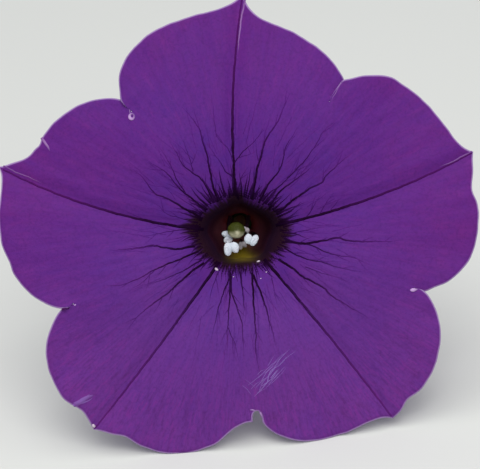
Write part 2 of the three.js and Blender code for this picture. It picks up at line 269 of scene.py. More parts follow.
def sway(z):
    """How far the tube and the stalk lie above the face's axis at a depth z."""
    z = np.asarray(z, float)
    along = TUBE_LENGTH - MOUTH_DEPTH
    in_tube = TUBE_SWAY * (np.clip(-z - MOUTH_DEPTH, 0, along) / along) ** 2
    behind = np.maximum(-TUBE_LENGTH - z, 0)
    return in_tube + 2 * TUBE_SWAY / along * behind - STALK_ARCH * behind**2


def tube_radius(angle, z):
    """The tube's radius, which opens from a round foot to a slightly starred mouth."""
    opening = soft_step(-TUBE_LENGTH, -MOUTH_DEPTH + 3, z)
    share = field(angle, 0)[2]
    star = MOUTH_STAR * np.cos(np.pi * share)
    oval = MOUTH_OVAL * np.cos(2 * np.radians(angle))
    return blend(FOOT_RADIUS, MOUTH_RADIUS, opening) * (1 + (star + oval) * opening)


def flutter(angle, radius):
    """Fine waves of the rim and fine puckers, too small for the plain solid."""
    a = np.radians(angle)
    rim = soft_step(22, 35, radius)
    waves = 0.5 * np.sin(23 * a + 0.3) + 0.35 * np.sin(37 * a + 1.9) + 0.25 * np.sin(61 * a + 4.0)
    pucker = np.sin(71 * a + 0.11 * radius) * np.sin(0.55 * radius + 3 * np.sin(5 * a))
    return 0.16 * rim * waves + 0.035 * soft_step(6, 14, radius) * pucker


def petal_height(angle, radius):
    """How far the petals stand in front of the plane of the face."""
    lobe, side, share, offset = field(angle, radius)
    out = np.maximum(0, radius - tube_radius(angle, -MOUTH_DEPTH))
    flare = -MOUTH_DEPTH * (FLARE / (out + FLARE)) ** 2
    recurve = -RECURVE * (radius / LIMB_RADIUS) ** 2 * soft_step(2, 20, out)
    from_rib = radius * np.sin(np.radians(offset))
    valley = -RIB_VALLEY * bell(from_rib, RIB_VALLEY_WIDTH) * soft_step(0.5, 5, out)
    between = (1 - np.cos(np.pi * share)) / 2
    pillow = PILLOW * between * soft_step(1, 12, out) * (1 - 0.6 * soft_step(20, 30, radius))
    wave = WAVE * np.sin(np.pi * (2 * share + 0.7 * lobe + 0.4 * side)) * soft_step(20, 36, radius)
    notch_end = NOTCH_END[np.where(side == 1, lobe, lobe - 1)]
    from_notch = radius * np.radians((1 - share) * HALF_LOBE)
    over = np.where(side == 1, STEP, -STEP) * soft_step(0, STEP_LENGTH, radius - notch_end)
    step = over * bell(from_notch, 3)
    waves = 4 * wave * share * (1 - share) + flutter(angle, radius)
    return flare + recurve + valley + pillow + waves + step


def lap(angle, radius):
    """How far a petal's edge shifts over or under its neighbour at a closed notch, in degrees."""
    lobe, side, share, _ = field(angle, radius)
    notch = np.where(side == 1, lobe, lobe - 1)
    closed = NOTCH_LAP[notch] * soft_step(-0.1, 0.8, radius - NOTCH_END[notch])
    shift = closed * bell(radius * np.radians((1 - share) * HALF_LOBE), 1.4)
    return np.degrees(np.where(side == 1, shift, -shift) / np.maximum(radius, 1))


def on_limb(angle, radius):
    """Points of the spread petals."""
    a = np.radians(angle + lap(angle, radius))
    return np.stack([radius * np.cos(a), radius * np.sin(a), petal_height(angle, radius)], -1)


def on_tube(angle, z):
    """Points of the tube."""
    a = np.radians(angle)
    z = np.broadcast_to(z, a.shape).astype(float)
    radius = tube_radius(angle, z)
    return np.stack([radius * np.cos(a), radius * np.sin(a) + sway(z), z], -1)


def on_sheet(angle, along):
    """The petals' middle surface: along is mm outwards from the mouth, or mm down into the tube
    where it is negative."""
    angle, along = np.broadcast_arrays(np.asarray(angle, float), np.asarray(along, float))
    mouth = tube_radius(angle, -MOUTH_DEPTH)
    limb = on_limb(angle, mouth + np.maximum(along, 0))
    tube = on_tube(angle, -MOUTH_DEPTH + np.minimum(along, 0))
    return np.where((along >= 0)[..., None], limb, tube)


def sheet_normal(angle, along):
    """Unit normals of the sheet, out of the face and into the tube."""
    step = 0.02
    turn = np.degrees(step / np.maximum(4, along))
    round_ = on_sheet(angle + turn, along) - on_sheet(angle - turn, along)
    outwards = on_sheet(angle, along + step) - on_sheet(angle, along - step)
    return unit(np.cross(outwards, round_))


print("rim height at the five tips, mm:",
      [round(float(petal_height(tip, reach)), 2) for tip, reach, *_ in LOBES])

# %% [markdown]
# ## Making mesh objects
#
# Every piece is made from arrays of points and faces. Measures that a finish needs, such as how
# far a point is from the rim, are stored on the points as named attributes, and the material
# reads them back. That ties a pattern to the surface, from whatever side it is seen.

# %% From arrays to objects
def store(mesh, measures):
    """Keeps measures of the points with the mesh, as named attributes."""
    for key, values in measures.items():
        values = np.asarray(values, np.float32)
        kind, part = ("FLOAT", "value") if values.ndim == 1 else ("FLOAT_VECTOR", "vector")
        mesh.attributes.new(key, kind, "POINT").data.foreach_set(part, values.ravel())


def as_object(name, data):
    """A mesh, a light or a camera as an object of the scene, at the origin."""
    made = bpy.data.objects.new(name, data)
    bpy.context.scene.collection.objects.link(made)
    return made


def make_object(name, points, faces, measures, material):
    """A smooth mesh object from points of the bloom's own frame."""
    mesh = bpy.data.meshes.new(name)
    mesh.from_pydata([tuple(p) for p in laid(points)], [], [tuple(f) for f in faces])
    store(mesh, measures)
    mesh.shade_smooth()
    mesh.materials.append(material)
    mesh.validate()
    mesh.update()
    return as_object(name, mesh)


def ring_faces(rows, count, start=0):
    """Quads between neighbouring closed rows of points, each of the same count."""
    row, n = np.meshgrid(np.arange(rows - 1), np.arange(count), indexing="ij")
    nxt = (n + 1) % count
    corners = [row * count + n, (row + 1) * count + n, (row + 1) * count + nxt, row * count + nxt]
    return start + np.stack(corners, -1).reshape(-1, 4)


def pole_faces(count, first_row, first_pole, last_row, last_pole):
    """Fans of triangles that close both ends of such rows."""
    faces = []
    for k in range(count):
        nxt = (k + 1) % count
        faces.append((first_pole, first_row + k, first_row + nxt))
        faces.append((last_pole, last_row + nxt, last_row + k))
    return faces


def report(obj):
    """Prints a mesh's size and whether it is closed. A volume below 0 would mean that its faces
    point inwards."""
    bm = bmesh.new()
    bm.from_mesh(obj.data)
    volume = bm.calc_volume(signed=True) / MM**3
    open_edges = sum(1 for e in bm.edges if not e.is_manifold)
    bm.free()
    triangles = sum(len(p.vertices) - 2 for p in obj.data.polygons)
    print(f"{obj.name}: {triangles} triangles, {volume:.1f} mm3, {open_edges} open edges")


# %% [markdown]
# ## Writing shaders as sums
#
# A finish is a sum of masks, noises and colours. Wired by hand, each plus sign is a node. Here a
# small class wraps a node's output, so that plain Python sums add the Math nodes, and one method
# makes any other node. Colours are mixed with Mix nodes, because a Math node would turn a colour
# grey.

# %% A small language for shaders
class Value:
    """A number in a shader, that sums, differences, products and quotients can be written with."""

    def __init__(self, shader, socket):
        self.shader, self.socket = shader, socket

    def _math(self, operation, *inputs):
        return self.shader.node("ShaderNodeMath", {"operation": operation}, inputs)

    def __add__(self, other):
        return self._math("ADD", self, other)

    def __sub__(self, other):
        return self._math("SUBTRACT", self, other)

    def __rsub__(self, other):
        return self._math("SUBTRACT", other, self)

    def __mul__(self, other):
        return self._math("MULTIPLY", self, other)

    def __truediv__(self, other):
        return self._math("DIVIDE", self, other)

    __radd__ = __add__
    __rmul__ = __mul__

    def clipped(self):
        return self.shader.node("ShaderNodeClamp", {}, [self])

    def step(self, low, high):
        """0 below low and 1 above high, softly; low may be the higher one to turn it round."""
        settings = {"interpolation_type": "SMOOTHSTEP"}
        return self.shader.node("ShaderNodeMapRange", settings, [self, low, high])


class Shader:
    """A material's node tree, with a Principled shader at its end."""

    def __init__(self, name, **constants):
        self.material = bpy.data.materials.new(name)
        self.material.use_nodes = True
        self.tree = self.material.node_tree
        self.surface = self.tree.nodes["Principled BSDF"]
        for socket, value in constants.items():
            self.surface.inputs[socket.replace("_", " ")].default_value = value

    def node(self, kind, settings=None, inputs=(), output=0):
        """Any node: its settings first, then its inputs by place or by name."""
        made = self.tree.nodes.new(kind)
        for key, value in (settings or {}).items():
            setattr(made, key, value)
        pairs = inputs.items() if isinstance(inputs, dict) else enumerate(inputs)
        for key, value in pairs:
            if isinstance(value, Value):
                self.tree.links.new(value.socket, made.inputs[key])
            else:
                made.inputs[key].default_value = value
        return Value(self, made.outputs[output])

    def place(self):
        return self.node("ShaderNodeTexCoord", output="Object")

    def measure(self, name, vector=False):
        """An attribute of the mesh."""
        output = "Vector" if vector else "Fac"
        return self.node("ShaderNodeAttribute", {"attribute_name": name}, output=output)

    def scaled(self, vector, by):
        inputs = {0: vector, 1: by}
        return self.node("ShaderNodeVectorMath", {"operation": "MULTIPLY"}, inputs)

    def noise(self, vector, scale, detail=2.0, roughness=0.5):
        inputs = {"Vector": vector, "Scale": scale, "Detail": detail, "Roughness": roughness}
        return self.node("ShaderNodeTexNoise", {}, inputs, output="Fac")

    def cells(self, vector, scale, feature="F1"):
        inputs = {"Vector": vector, "Scale": scale}
        return self.node("ShaderNodeTexVoronoi", {"feature": feature}, inputs, output="Distance")

    def mix(self, mask, a, b):
        """Colour a where the mask is 0 and colour b where it is 1."""
        inputs = {"Factor": mask, 6: a, 7: b}
        return self.node("ShaderNodeMix", {"data_type": "RGBA"}, inputs, output=2)

    def finish(self, colour, roughness, height=None, depth=0.1, coat=None):
        """Wires up what changes over the surface. height is a relief, depth its size in mm."""
        ends = {"Base Color": colour, "Roughness": roughness, "Coat Weight": coat}
        for socket, value in ends.items():
            if value is not None:
                self.tree.links.new(value.socket, self.surface.inputs[socket])
        if height is not None:
            inputs = {"Strength": 1.0, "Distance": depth * MM, "Height": height}
            bump = self.node("ShaderNodeBump", {}, inputs)
            self.tree.links.new(bump.socket, self.surface.inputs["Normal"])
        return self.material


def hue(red, green, blue):
    """A colour as it is seen on a screen, 0 to 255, as the light that a shader works with."""
    seen = np.array([red, green, blue]) / 255
    light = np.where(seen <= 0.04045, seen / 12.92, ((seen + 0.055) / 1.055) ** 2.4)
    return (*light, 1.0)


# %% [markdown]
# ## The petals' finish
#
# A petunia's petal is velvet: its skin is a field of tiny cones that catch the light at any
# angle and drink up shine. Its violet comes from pigment that is bluer where it is dense, near
# the throat, and redder towards the rim. The throat is stained almost black. Deeper in the tube
# it turns a bright pink, a painted glow that stands for light shining through the thin tube, and
# the olive patch on its floor is partly the tube's own yellow and partly painted light, laid
# where the light falls in. The very edge of each petal is a pale line.
#
# The same function colours the petals and the veins that lie in them, so that a vein can fade
# into the petal around it.

# %% Colours of the petal
VIOLET = hue(86, 30, 120)
BLUE_VIOLET = hue(70, 29, 120)
RED_VIOLET = hue(100, 31, 116)
SUNLIT_VIOLET = hue(122, 76, 158)
THROAT_BLACK = hue(34, 10, 22)
THROAT_MAROON = hue(74, 25, 30)
# painted light: a bright pink deep in the tube, a glow that stands for light shining through its
# thin wall
THROAT_PAINTED_GLOW = hue(226, 132, 148)
# the olive of the tube's floor, brightened: partly the tube's own yellow, partly painted light
# where the light falls in
OLIVE = hue(230, 206, 26)
PALE_RIM = hue(178, 150, 196)
SCRATCH_BLUE = hue(162, 142, 210)
# pale pink of folds and creases: partly the rim's own pale flesh, partly painted highlight
FOLD_PINK_AND_HIGHLIGHT = hue(182, 142, 194)
PINK_VIOLET = hue(116, 38, 128)
BACK_LILAC = hue(140, 100, 172)
TUBE_GREEN = hue(120, 112, 118)
VEIN_DARK = hue(24, 2, 32)
VEIN_RED = hue(62, 10, 70)

PAPILLA_SCALE = 5200.0  # the skin's tiny cones, per metre


def petal_colour(shader):
    """The petal's colour before its veins."""
    place = shader.place()
    along = shader.measure("along")
    lower = shader.measure("lower")
    spoke = shader.measure("spoke", vector=True)

    def fibres(across, lengthways, *settings):
        """Noise drawn out along the petal."""
        return shader.noise(shader.scaled(spoke, (across, across, lengthways)), 1.0, *settings)

    # bluer and redder clouds, and a brighter violet on the lobes that the light falls on
    clouds = shader.noise(place, 90, 3)
    mottle = shader.noise(place, 420, 2)
    ribs = fibres(60, 0.09, 2)
    flecks = shader.noise(place, 2600, 2, 0.6)
    redness = ((along - 5) / 27 + (clouds - 0.5) * 1.3 + (flecks - 0.5) * 0.9).clipped()
    colour = shader.mix(redness, BLUE_VIOLET, RED_VIOLET)
    colour = shader.mix(((mottle - 0.5) * 1.4 + 0.5).clipped(), colour, VIOLET)
    colour = shader.mix(lower * (0.13 + 0.1 * clouds), colour, SUNLIT_VIOLET)
    # fibres, a net of finest veins, flecks, and the crinkle near the rim of the lower lobes
    streaks = fibres(36, 0.3, 3, 0.6)
    net = shader.cells(shader.scaled(spoke, (21, 21, 0.42)), 1.0, "DISTANCE_TO_EDGE")
    crinkle = fibres(84, 0.55, 2, 0.6)
    crinkled = lower * along.step(12.0, 24.0)
    for mask, tone in [
        (streaks.step(0.52, 0.74) * 0.2, PINK_VIOLET),
        (streaks.step(0.48, 0.28) * 0.2, BLUE_VIOLET),
        (ribs.step(0.42, 0.66) * 0.08, VEIN_RED),
        (net.step(0.09, 0.0) * 0.1, VEIN_RED),
        (flecks.step(0.5, 0.34) * 0.16, VEIN_RED),
        (crinkle.step(0.5, 0.7) * crinkled * 0.26, VEIN_RED),
        (crinkle.step(0.5, 0.3) * crinkled * 0.4, PINK_VIOLET),
        (shader.measure("rim").step(0.34, 0.1) * 0.75, PALE_RIM),
    ]:
        colour = shader.mix(mask, colour, tone)

    # the dark stain, which runs down into the tube. Deeper down a painted glow stands for light
    # shining through the thin tube, and the olive floor is partly painted light
    throat = shader.mix(along.step(0.4, -4.0), THROAT_BLACK, THROAT_MAROON)
    throat = shader.mix(along.step(-5.0, -17.0), throat, THROAT_PAINTED_GLOW)
    throat = shader.mix(shader.measure("olive_and_painted_light"), throat, OLIVE)
    ragged = fibres(17, 0.25, 3, 0.65)
    stain = shader.measure("stain") + (ragged - 0.5) * 3.4
    front = shader.mix(stain.step(-1.0, 0.5), colour, throat)

    rear = shader.mix(ribs.step(0.35, 0.7) * 0.5, BACK_LILAC, VIOLET)
    rear = shader.mix(along.step(2.0, -16.0) * 0.8, rear, TUBE_GREEN)
    return shader.mix(shader.measure("back"), front, rear)


def petal_material():
    shader = Shader("petal_velvet", Specular_IOR_Level=0.1, Sheen_Weight=0.04,
                    Sheen_Roughness=0.5, Sheen_Tint=hue(170, 110, 220))
    colour = petal_colour(shader)
    place = shader.place()
    spoke = shader.measure("spoke", vector=True)
    papillae = shader.cells(place, PAPILLA_SCALE)
    ribs = shader.noise(shader.scaled(spoke, (46, 46, 0.16)), 1.0, 3, 0.6)
    height = ribs * 0.22 + shader.noise(place, 1500, 2) * 0.2 - papillae * 0.1
    roughness = 0.62 + (shader.noise(place, 700, 2) - 0.5) * 0.2
    return shader.finish(colour, roughness, height, depth=0.16)


PETAL = petal_material()
print("petal finish:", len(PETAL.node_tree.nodes), "nodes")

# %% [markdown]
# ## The petals
#
# The sheet is one closed skin: a face, a back, and a rounded rim between them. A flat sheet with
# a Solidify modifier would do for a straight edge, but it pinches at the notches. So both skins
# are laid out row by row from the same sums, half the petal's thickness either side of the
# middle surface. The rows run round the flower, the columns from the foot of the tube to the rim.
# Along the rim the columns crowd where the outline turns.

# %% Columns of the sheet
PETAL_THICKNESS = 0.34
OUTLINE_STEPS = 50
SLIT_STEPS = 9
ARCH_OF_GAP, ARCH_OF_SLIT = 4, 60  # how squarely an open and a closed notch end
FACE_TUBE_ROWS, FACE_LIMB_ROWS = 20, 62
BACK_TUBE_ROWS, BACK_LIMB_ROWS = 16, 40


def ragged_rim(angle, share):
    """Small irregularities of the petal's edge, in mm, with no waves at the tips and notches."""
    a = np.radians(angle)
    waves = 0.5 * np.sin(29 * a + 1.0) + 0.3 * np.sin(53 * a + 2.2) + 0.22 * np.sin(97 * a + 0.7)
    nips = sum(height * bell(turn_from(at, angle), width) for at, height, width in NIPS)
    return 0.08 * waves * np.sin(np.pi * np.clip(share, 0, 1)) ** 0.5 + nips


def half_lobe(lobe, side):
    """The columns from a midrib to a notch's end: for each its lobe, its side, its share of the
    way to the notch at the rim, its reach, and the share that it keeps in the tube."""
    notch_angle, mouth, end, half, _ = notch_beside(lobe, side)
    span = abs(turn_from(LOBES[lobe][0], notch_angle))
    k = np.arange(OUTLINE_STEPS + 1) / (OUTLINE_STEPS + 0.5)
    share = blend(k, (1 - np.cos(np.pi * k)) / 2, 0.7)
    angle = LOBES[lobe][0] + share * turn_from(LOBES[lobe][0], notch_angle)
    reach = outline(lobe, side, share) + ragged_rim(angle, share)
    share = share * (1 - np.degrees(half / mouth) / span)
    inward = (1 - np.cos(np.pi * np.arange(1, SLIT_STEPS) / SLIT_STEPS)) / 2
    arch = np.sqrt(1 - inward ** (ARCH_OF_GAP if half > 0.1 else ARCH_OF_SLIT))
    share = np.concatenate([share, 1 - (1 - share[-1]) * arch, [1]])
    reach = np.concatenate([reach, blend(mouth, end, inward), [end]])
    even = np.linspace(0, 1, len(share))
    return np.stack([np.full(len(share), lobe), np.full(len(share), side), share, reach, even], -1)


halves = [(half_lobe(i, 0)[1:-1][::-1], half_lobe(i, 1)) for i in range(len(LOBES))]
columns = np.concatenate([half for pair in halves for half in pair])
of_lobe, of_side = columns[:, 0].astype(int), columns[:, 1].astype(int)
rim_share, rim_reach, even_share = columns[:, 2:].T
TO_NOTCH = np.array([notch_beside(i, side)[0] for i, side in zip(of_lobe, of_side)])
COUNT = len(columns)
print("columns round the flower:", COUNT)

# %% Rows of the sheet
def rib_angle_of_columns(radius):
    """The angle of each column's midrib at each column's radius."""
    ribs = np.array([rib_angle(i, np.broadcast_to(radius, COUNT)) for i in range(len(LOBES))])
    return ribs[of_lobe, np.arange(COUNT)]


def column_angle(share, radius):
    """The angle of each column at a share of the way to its notch."""
    rib = rib_angle_of_columns(radius)
    return rib + share * turn_from(rib, TO_NOTCH)


RIM_INSET = 0.1  # how far inside the rim both skins end
tube_angle = column_angle(even_share, 0.0)
MOUTH = tube_radius(tube_angle, -MOUTH_DEPTH)


def inset_rim(inset):
    """Share and reach of the rim's columns, moved inwards across the rim."""
    flat = flat_point(rim_reach, column_angle(rim_share, rim_reach))
    ahead = unit(np.roll(flat, -1, 0) - np.roll(flat, 1, 0))
    flat = flat + inset * np.stack([-ahead[:, 1], ahead[:, 0]], -1)
    reach = np.linalg.norm(flat, axis=1)
    rib = rib_angle_of_columns(reach)
    turned = turn_from(rib, np.degrees(np.arctan2(flat[:, 1], flat[:, 0])))
    return np.clip(turned / turn_from(rib, TO_NOTCH), 0, 1), reach


def sheet_rows(tube_rows, limb_rows):
    """Angle and along of each point, row by row from the foot to just inside the rim. The rows
    crowd a little at the mouth, and the columns only spread to their places near the rim."""
    share_at_rim, reach = inset_rim(RIM_INSET)
    tube = -(TUBE_LENGTH - MOUTH_DEPTH) * (1 - np.arange(tube_rows) / tube_rows)
    rows = [(tube_angle, np.full(COUNT, depth)) for depth in tube]
    for row in range(limb_rows + 1):
        t = (row / limb_rows) ** 1.25
        along = (reach - MOUTH) * t
        share = blend(even_share, share_at_rim, t**2.4)
        rows.append((column_angle(share, MOUTH + along), along))
    return np.array([r[0] for r in rows]), np.array([r[1] for r in rows])


face_angle, face_along = sheet_rows(FACE_TUBE_ROWS, FACE_LIMB_ROWS)
back_angle, back_along = sheet_rows(BACK_TUBE_ROWS, BACK_LIMB_ROWS)
rim_along = rim_reach - MOUTH
rim_angle = column_angle(rim_share, rim_reach)

# %% [markdown]
# ## The veins' routes
#
# Dark veins fan out of the throat, wander and fork, and fade into the petal. Random branching
# would give veins of the right kind but in the wrong places. So the veins that show from a step
# away are laid one by one, each as a few stops read off the photograph: distance from the middle
# in mm, and angle. A smooth curve runs through the stops, and small wiggles come on top. Forks,
# the fringe of short veins round the throat and the faintest veins are drawn by a seeded rule.

# %% Stops of the veins
# width at the root in mm, then stops of (distance, angle)
VEINS = [
    # top lobe and its left side
    (0.34, [(5.6, 126), (8.4, 119.3), (11.3, 114.3), (14.8, 112.2), (16.6, 111.8), (20.3, 115)]),
    (0.26, [(6.4, 95), (8.2, 98), (9.1, 104), (11.1, 106.6), (12.0, 110.5), (11.6, 114)]),
    (0.15, [(9.6, 95), (12.3, 98.6), (13.9, 103.2), (16.0, 104)]),
    (0.28, [(5.8, 131), (9.5, 126.1), (10.8, 128.6), (12.8, 130.2), (14.9, 128.8), (17, 127.5)]),
    (0.30, [(6.0, 147), (11.1, 144), (13.5, 141.2), (17.4, 142.4)]),
    (0.20, [(9.6, 145), (12.3, 139.5), (14.8, 135), (17.4, 133.6)]),
    (0.14, [(11.2, 127.5), (14.4, 123), (17.2, 121.5)]),
    (0.36, [(6.0, 160), (9.4, 156.6), (12.0, 155.1), (13.6, 155.6), (16.1, 150.8), (18.2, 149.4)]),
    (0.15, [(7.4, 167), (10.8, 166), (12.6, 161.9), (14.2, 160.5)]),
    (0.13, [(7.0, 152), (9.6, 150.5), (12.4, 149.8)]),
    # top lobe's right side and the right lobe
    (0.40, [(5.2, 69), (8.8, 74.3), (11.7, 74.5), (14.2, 74.2), (16.7, 71.2), (21.8, 70.2)]),
    (0.18, [(10.2, 94), (11.6, 88), (14.2, 78.8), (16.6, 77.0)]),
    (0.17, [(6.2, 93), (8.4, 86.6), (9.8, 82.0)]),
    (0.30, [(5.2, 57.5), (8.3, 59.1), (10.7, 57.4), (12.4, 59.4), (14.1, 61.6), (17.6, 61)]),
    (0.25, [(5.3, 51), (8.7, 49.5), (11.8, 48.4), (14.4, 52.5)]),
    (0.21, [(10.4, 48.6), (13.0, 47.9), (15.8, 48.5), (19.0, 50.3), (21.3, 49.4)]),
    (0.32, [(5.5, 38), (7.6, 45.2), (9.9, 44.4), (12.4, 42.7), (15.0, 42.5)]),
    (0.38, [(6.2, 27), (9.4, 31.2), (12.1, 31.8), (14.0, 31.4), (15.5, 33.7), (20.0, 35.4)]),
    (0.16, [(9.6, 11), (11.0, 18), (13.3, 25.8)]),
    (0.13, [(12.0, 13.5), (13.8, 20.6), (15.0, 23)]),
    (0.12, [(13.6, 14), (15.9, 19.9)]),
    (0.15, [(7.4, 17), (9.0, 20.5), (10.2, 22)]),
    # right lobe's lower side and the lower right lobe
    (0.40, [(6.8, 348), (9.7, 350), (12.2, 353.9), (14.3, 356.3), (16.7, 355.2), (23.6, 356.8)]),
    (0.22, [(9.3, 349.6), (11.0, 348.8), (13.6, 346.5), (16.7, 347.1), (19.4, 346)]),
    (0.24, [(7.0, 340), (9.9, 337.7), (12.8, 339.8), (16.1, 340.6), (19.6, 342.4)]),
    (0.14, [(10.8, 332), (14.4, 334.1), (17.2, 337)]),
    (0.38, [(7.0, 325), (9.7, 325.4), (11.4, 324.8), (14.4, 326.4), (16.6, 325.3), (23, 326.4)]),
    (0.15, [(7.6, 358), (10.2, 2), (12.6, 3)]),
    (0.13, [(8.2, 304), (10.0, 300), (12.4, 296)]),
    # between the two lower lobes
    (0.34, [(6.6, 287), (10.6, 288.9), (13.9, 288.2), (17.6, 287.6)]),
    (0.32, [(6.3, 286.5), (9.3, 281.9), (12.1, 280), (14.9, 278.9), (17.7, 277.5), (21.6, 278.3)]),
    (0.26, [(5.9, 270.4), (8.2, 272.3), (11.0, 273.1), (12.9, 271.2)]),
    (0.26, [(6.6, 259), (8.6, 261.6), (11.4, 268.4), (12.9, 271), (15.7, 271.6), (18.4, 272)]),
    (0.29, [(6.2, 257), (9.2, 260.8), (12.0, 262.1), (14.9, 262.9), (18.3, 264.2)]),
    (0.25, [(6.8, 257.4), (10.4, 254.5), (13.3, 254.6), (16.4, 255.1)]),
    (0.15, [(7.0, 242), (9.6, 244.6), (11.8, 247)]),
    (0.16, [(14.0, 263), (16.4, 267.5), (19.2, 270)]),
    # lower left lobe and the left lobe's lower side
    (0.35, [(7.0, 220.5), (9.6, 219.2), (14.2, 220), (16.5, 219.3), (19.4, 219.4), (21.8, 218)]),
    (0.24, [(7.0, 216), (10.2, 214.2), (12.6, 212), (15.9, 209.8)]),
    (0.30, [(6.8, 205), (10.3, 204.2), (12.7, 203.9), (17.9, 204.4), (21.6, 201.5)]),
    (0.13, [(13.6, 204.2), (16.0, 207.2), (18.6, 208)]),
    (0.35, [(7.0, 197.5), (9.7, 195), (11.5, 191.3), (12.7, 189.3), (16.1, 188.9), (19.4, 188)]),
    (0.17, [(7.4, 177.5), (9.4, 179), (12.0, 181.6), (14.8, 182.8)]),
    (0.13, [(7.2, 184), (9.2, 186), (11.0, 186)]),
    # a painted shadow: a dark line along the crease in the notch of the left and the lower left
    # lobe
    (0.30, [(28.3, 203.0), (27.7, 203.2), (27.0, 203.6), (26.4, 203.9)]),
]
MIDRIB_WIDTH = 0.57
LOW_MIDRIB = 0.8  # how dark the outer midribs of the lower lobes are, against the others
SAMPLE = 0.3  # the distance between two points of a route

chance = np.random.default_rng(7)


def smooth_route(stops):
    """Points about every SAMPLE mm on a smooth curve through stops of (distance, angle)."""
    reach, angle = np.array(stops, float).T
    angle = np.degrees(np.unwrap(np.radians(angle)))
    return smooth_path(flat_point(reach, angle), SAMPLE)


def wandering(flat, amount):
    """The same route with small wiggles across it, none at its root."""
    s = np.arange(len(flat)) * SAMPLE
    phase = chance.uniform(0, 6.28, 3)
    waves = (np.sin(2.1 * s + phase[0]) + 0.6 * np.sin(4.7 * s + phase[1])
             + 0.4 * np.sin(8.3 * s + phase[2]))
    ahead = np.gradient(flat, axis=0)
    across = unit(np.stack([-ahead[:, 1], ahead[:, 0]], -1))
    return flat + across * (amount * waves * soft_step(0, 1.5, s))[:, None]


# %% All routes
def vein(flat, width, depth_of_colour, end_width=0.28, fade=0.85):
    """A route with the width and darkness of the vein along it, both fading to its end."""
    t = np.linspace(0, 1, len(flat))
    widths = width * blend(1.0, end_width, t) * (1 - 0.8 * t**8)
    dark = depth_of_colour * (1 - fade * t**1.8)
    return {"flat": flat, "width": widths, "dark": dark}


def midrib(lobe):
    reach = LOBES[lobe][1]
    radius = np.arange(MOUTH_RADIUS + 0.9, reach - 0.25, SAMPLE)
    flat = flat_point(radius, rib_angle(lobe, radius))
    t = np.linspace(0, 1, len(flat))
    width = MIDRIB_WIDTH * blend(1.0, 0.48, t**0.8)
    dark = blend(1.0, 0.62, t**1.5)
    if math.sin(math.radians(LOBES[lobe][0])) < 0:
        dark = dark * blend(1.0, LOW_MIDRIB, soft_step(0, 0.5, t))
    return {"flat": wandering(flat, 0.025), "width": width, "dark": dark}


def fork(parent, at, side, length, width):
    """A side vein that leaves its parent at an acute angle."""
    n = int(at * (len(parent["flat"]) - 2))
    start = parent["flat"][n]
    ahead = unit(parent["flat"][n + 1] - start)
    turned = turn_of_plane(side * chance.uniform(16, 34)) @ ahead
    s = np.arange(0, length, SAMPLE)[:, None]
    flat = start + turned * s + 0.035 * s**2 * (ahead - turned)
    return vein(wandering(flat, 0.03), width, 0.62 * parent["dark"][n], 0.4)


midribs = [midrib(i) for i in range(len(LOBES))]
main_veins = [
    vein(wandering(smooth_route(stops), 0.035), 1.15 * width, min(1, 0.3 + 2.3 * width))
    for width, stops in VEINS
]
FORK_EVERY = 3.2
forks = []
for parent in main_veins:
    places = len(parent["flat"]) * SAMPLE / FORK_EVERY
    for k in range(int(places)):
        side = 1 if (k + len(forks)) % 2 else -1
        at = (k + chance.uniform(0.3, 0.9)) / places
        if at < 0.9:
            forks.append(fork(parent, at, side, chance.uniform(1.2, 3.4), 0.15))

# the comb of dark strokes round the throat, strong ones and weak short ones between them: how
# many, their widths, their lengths and their darkness
COMBS = [(96, (0.34, 0.5), (1.6, 4.6), 0.9), (150, (0.18, 0.28), (0.8, 2.6), 0.8)]
fringe = []
for count, widths, lengths, darkness in COMBS:
    for k in range(count):
        angle = (k + chance.uniform(0.1, 0.9)) * 360 / count
        upper = soft_step(-0.6, 0.5, math.sin(math.radians(angle)))
        start = chance.uniform(4.9, 5.5) + 1.1 * abs(math.cos(math.radians(angle)))
        length = chance.uniform(*lengths) * blend(0.6, 1.0, upper)
        bend = chance.uniform(-6, 6)
        stops = [(start, angle), (start + 0.5 * length, angle + 0.3 * bend),
                 (start + length, angle + bend)]
        width = chance.uniform(*widths) * blend(0.7, 1.0, upper)
        fringe.append(vein(wandering(smooth_route(stops), 0.03), width, darkness, 0.22, 0.5))

FAINT = 120
faint = []
for k in range(FAINT):
    angle = (k + chance.uniform(0, 1)) * 360 / FAINT
    start = chance.uniform(7.5, 15)
    length = chance.uniform(3, 8)
    bend = chance.uniform(-9, 9) * 8 / start
    stops = [(start, angle), (start + 0.5 * length, angle + 0.6 * bend),
             (start + length, angle + bend)]
    strength = chance.uniform(0.1, 0.34)
    faint.append(vein(wandering(smooth_route(stops), 0.05), 0.13, strength, 0.5))

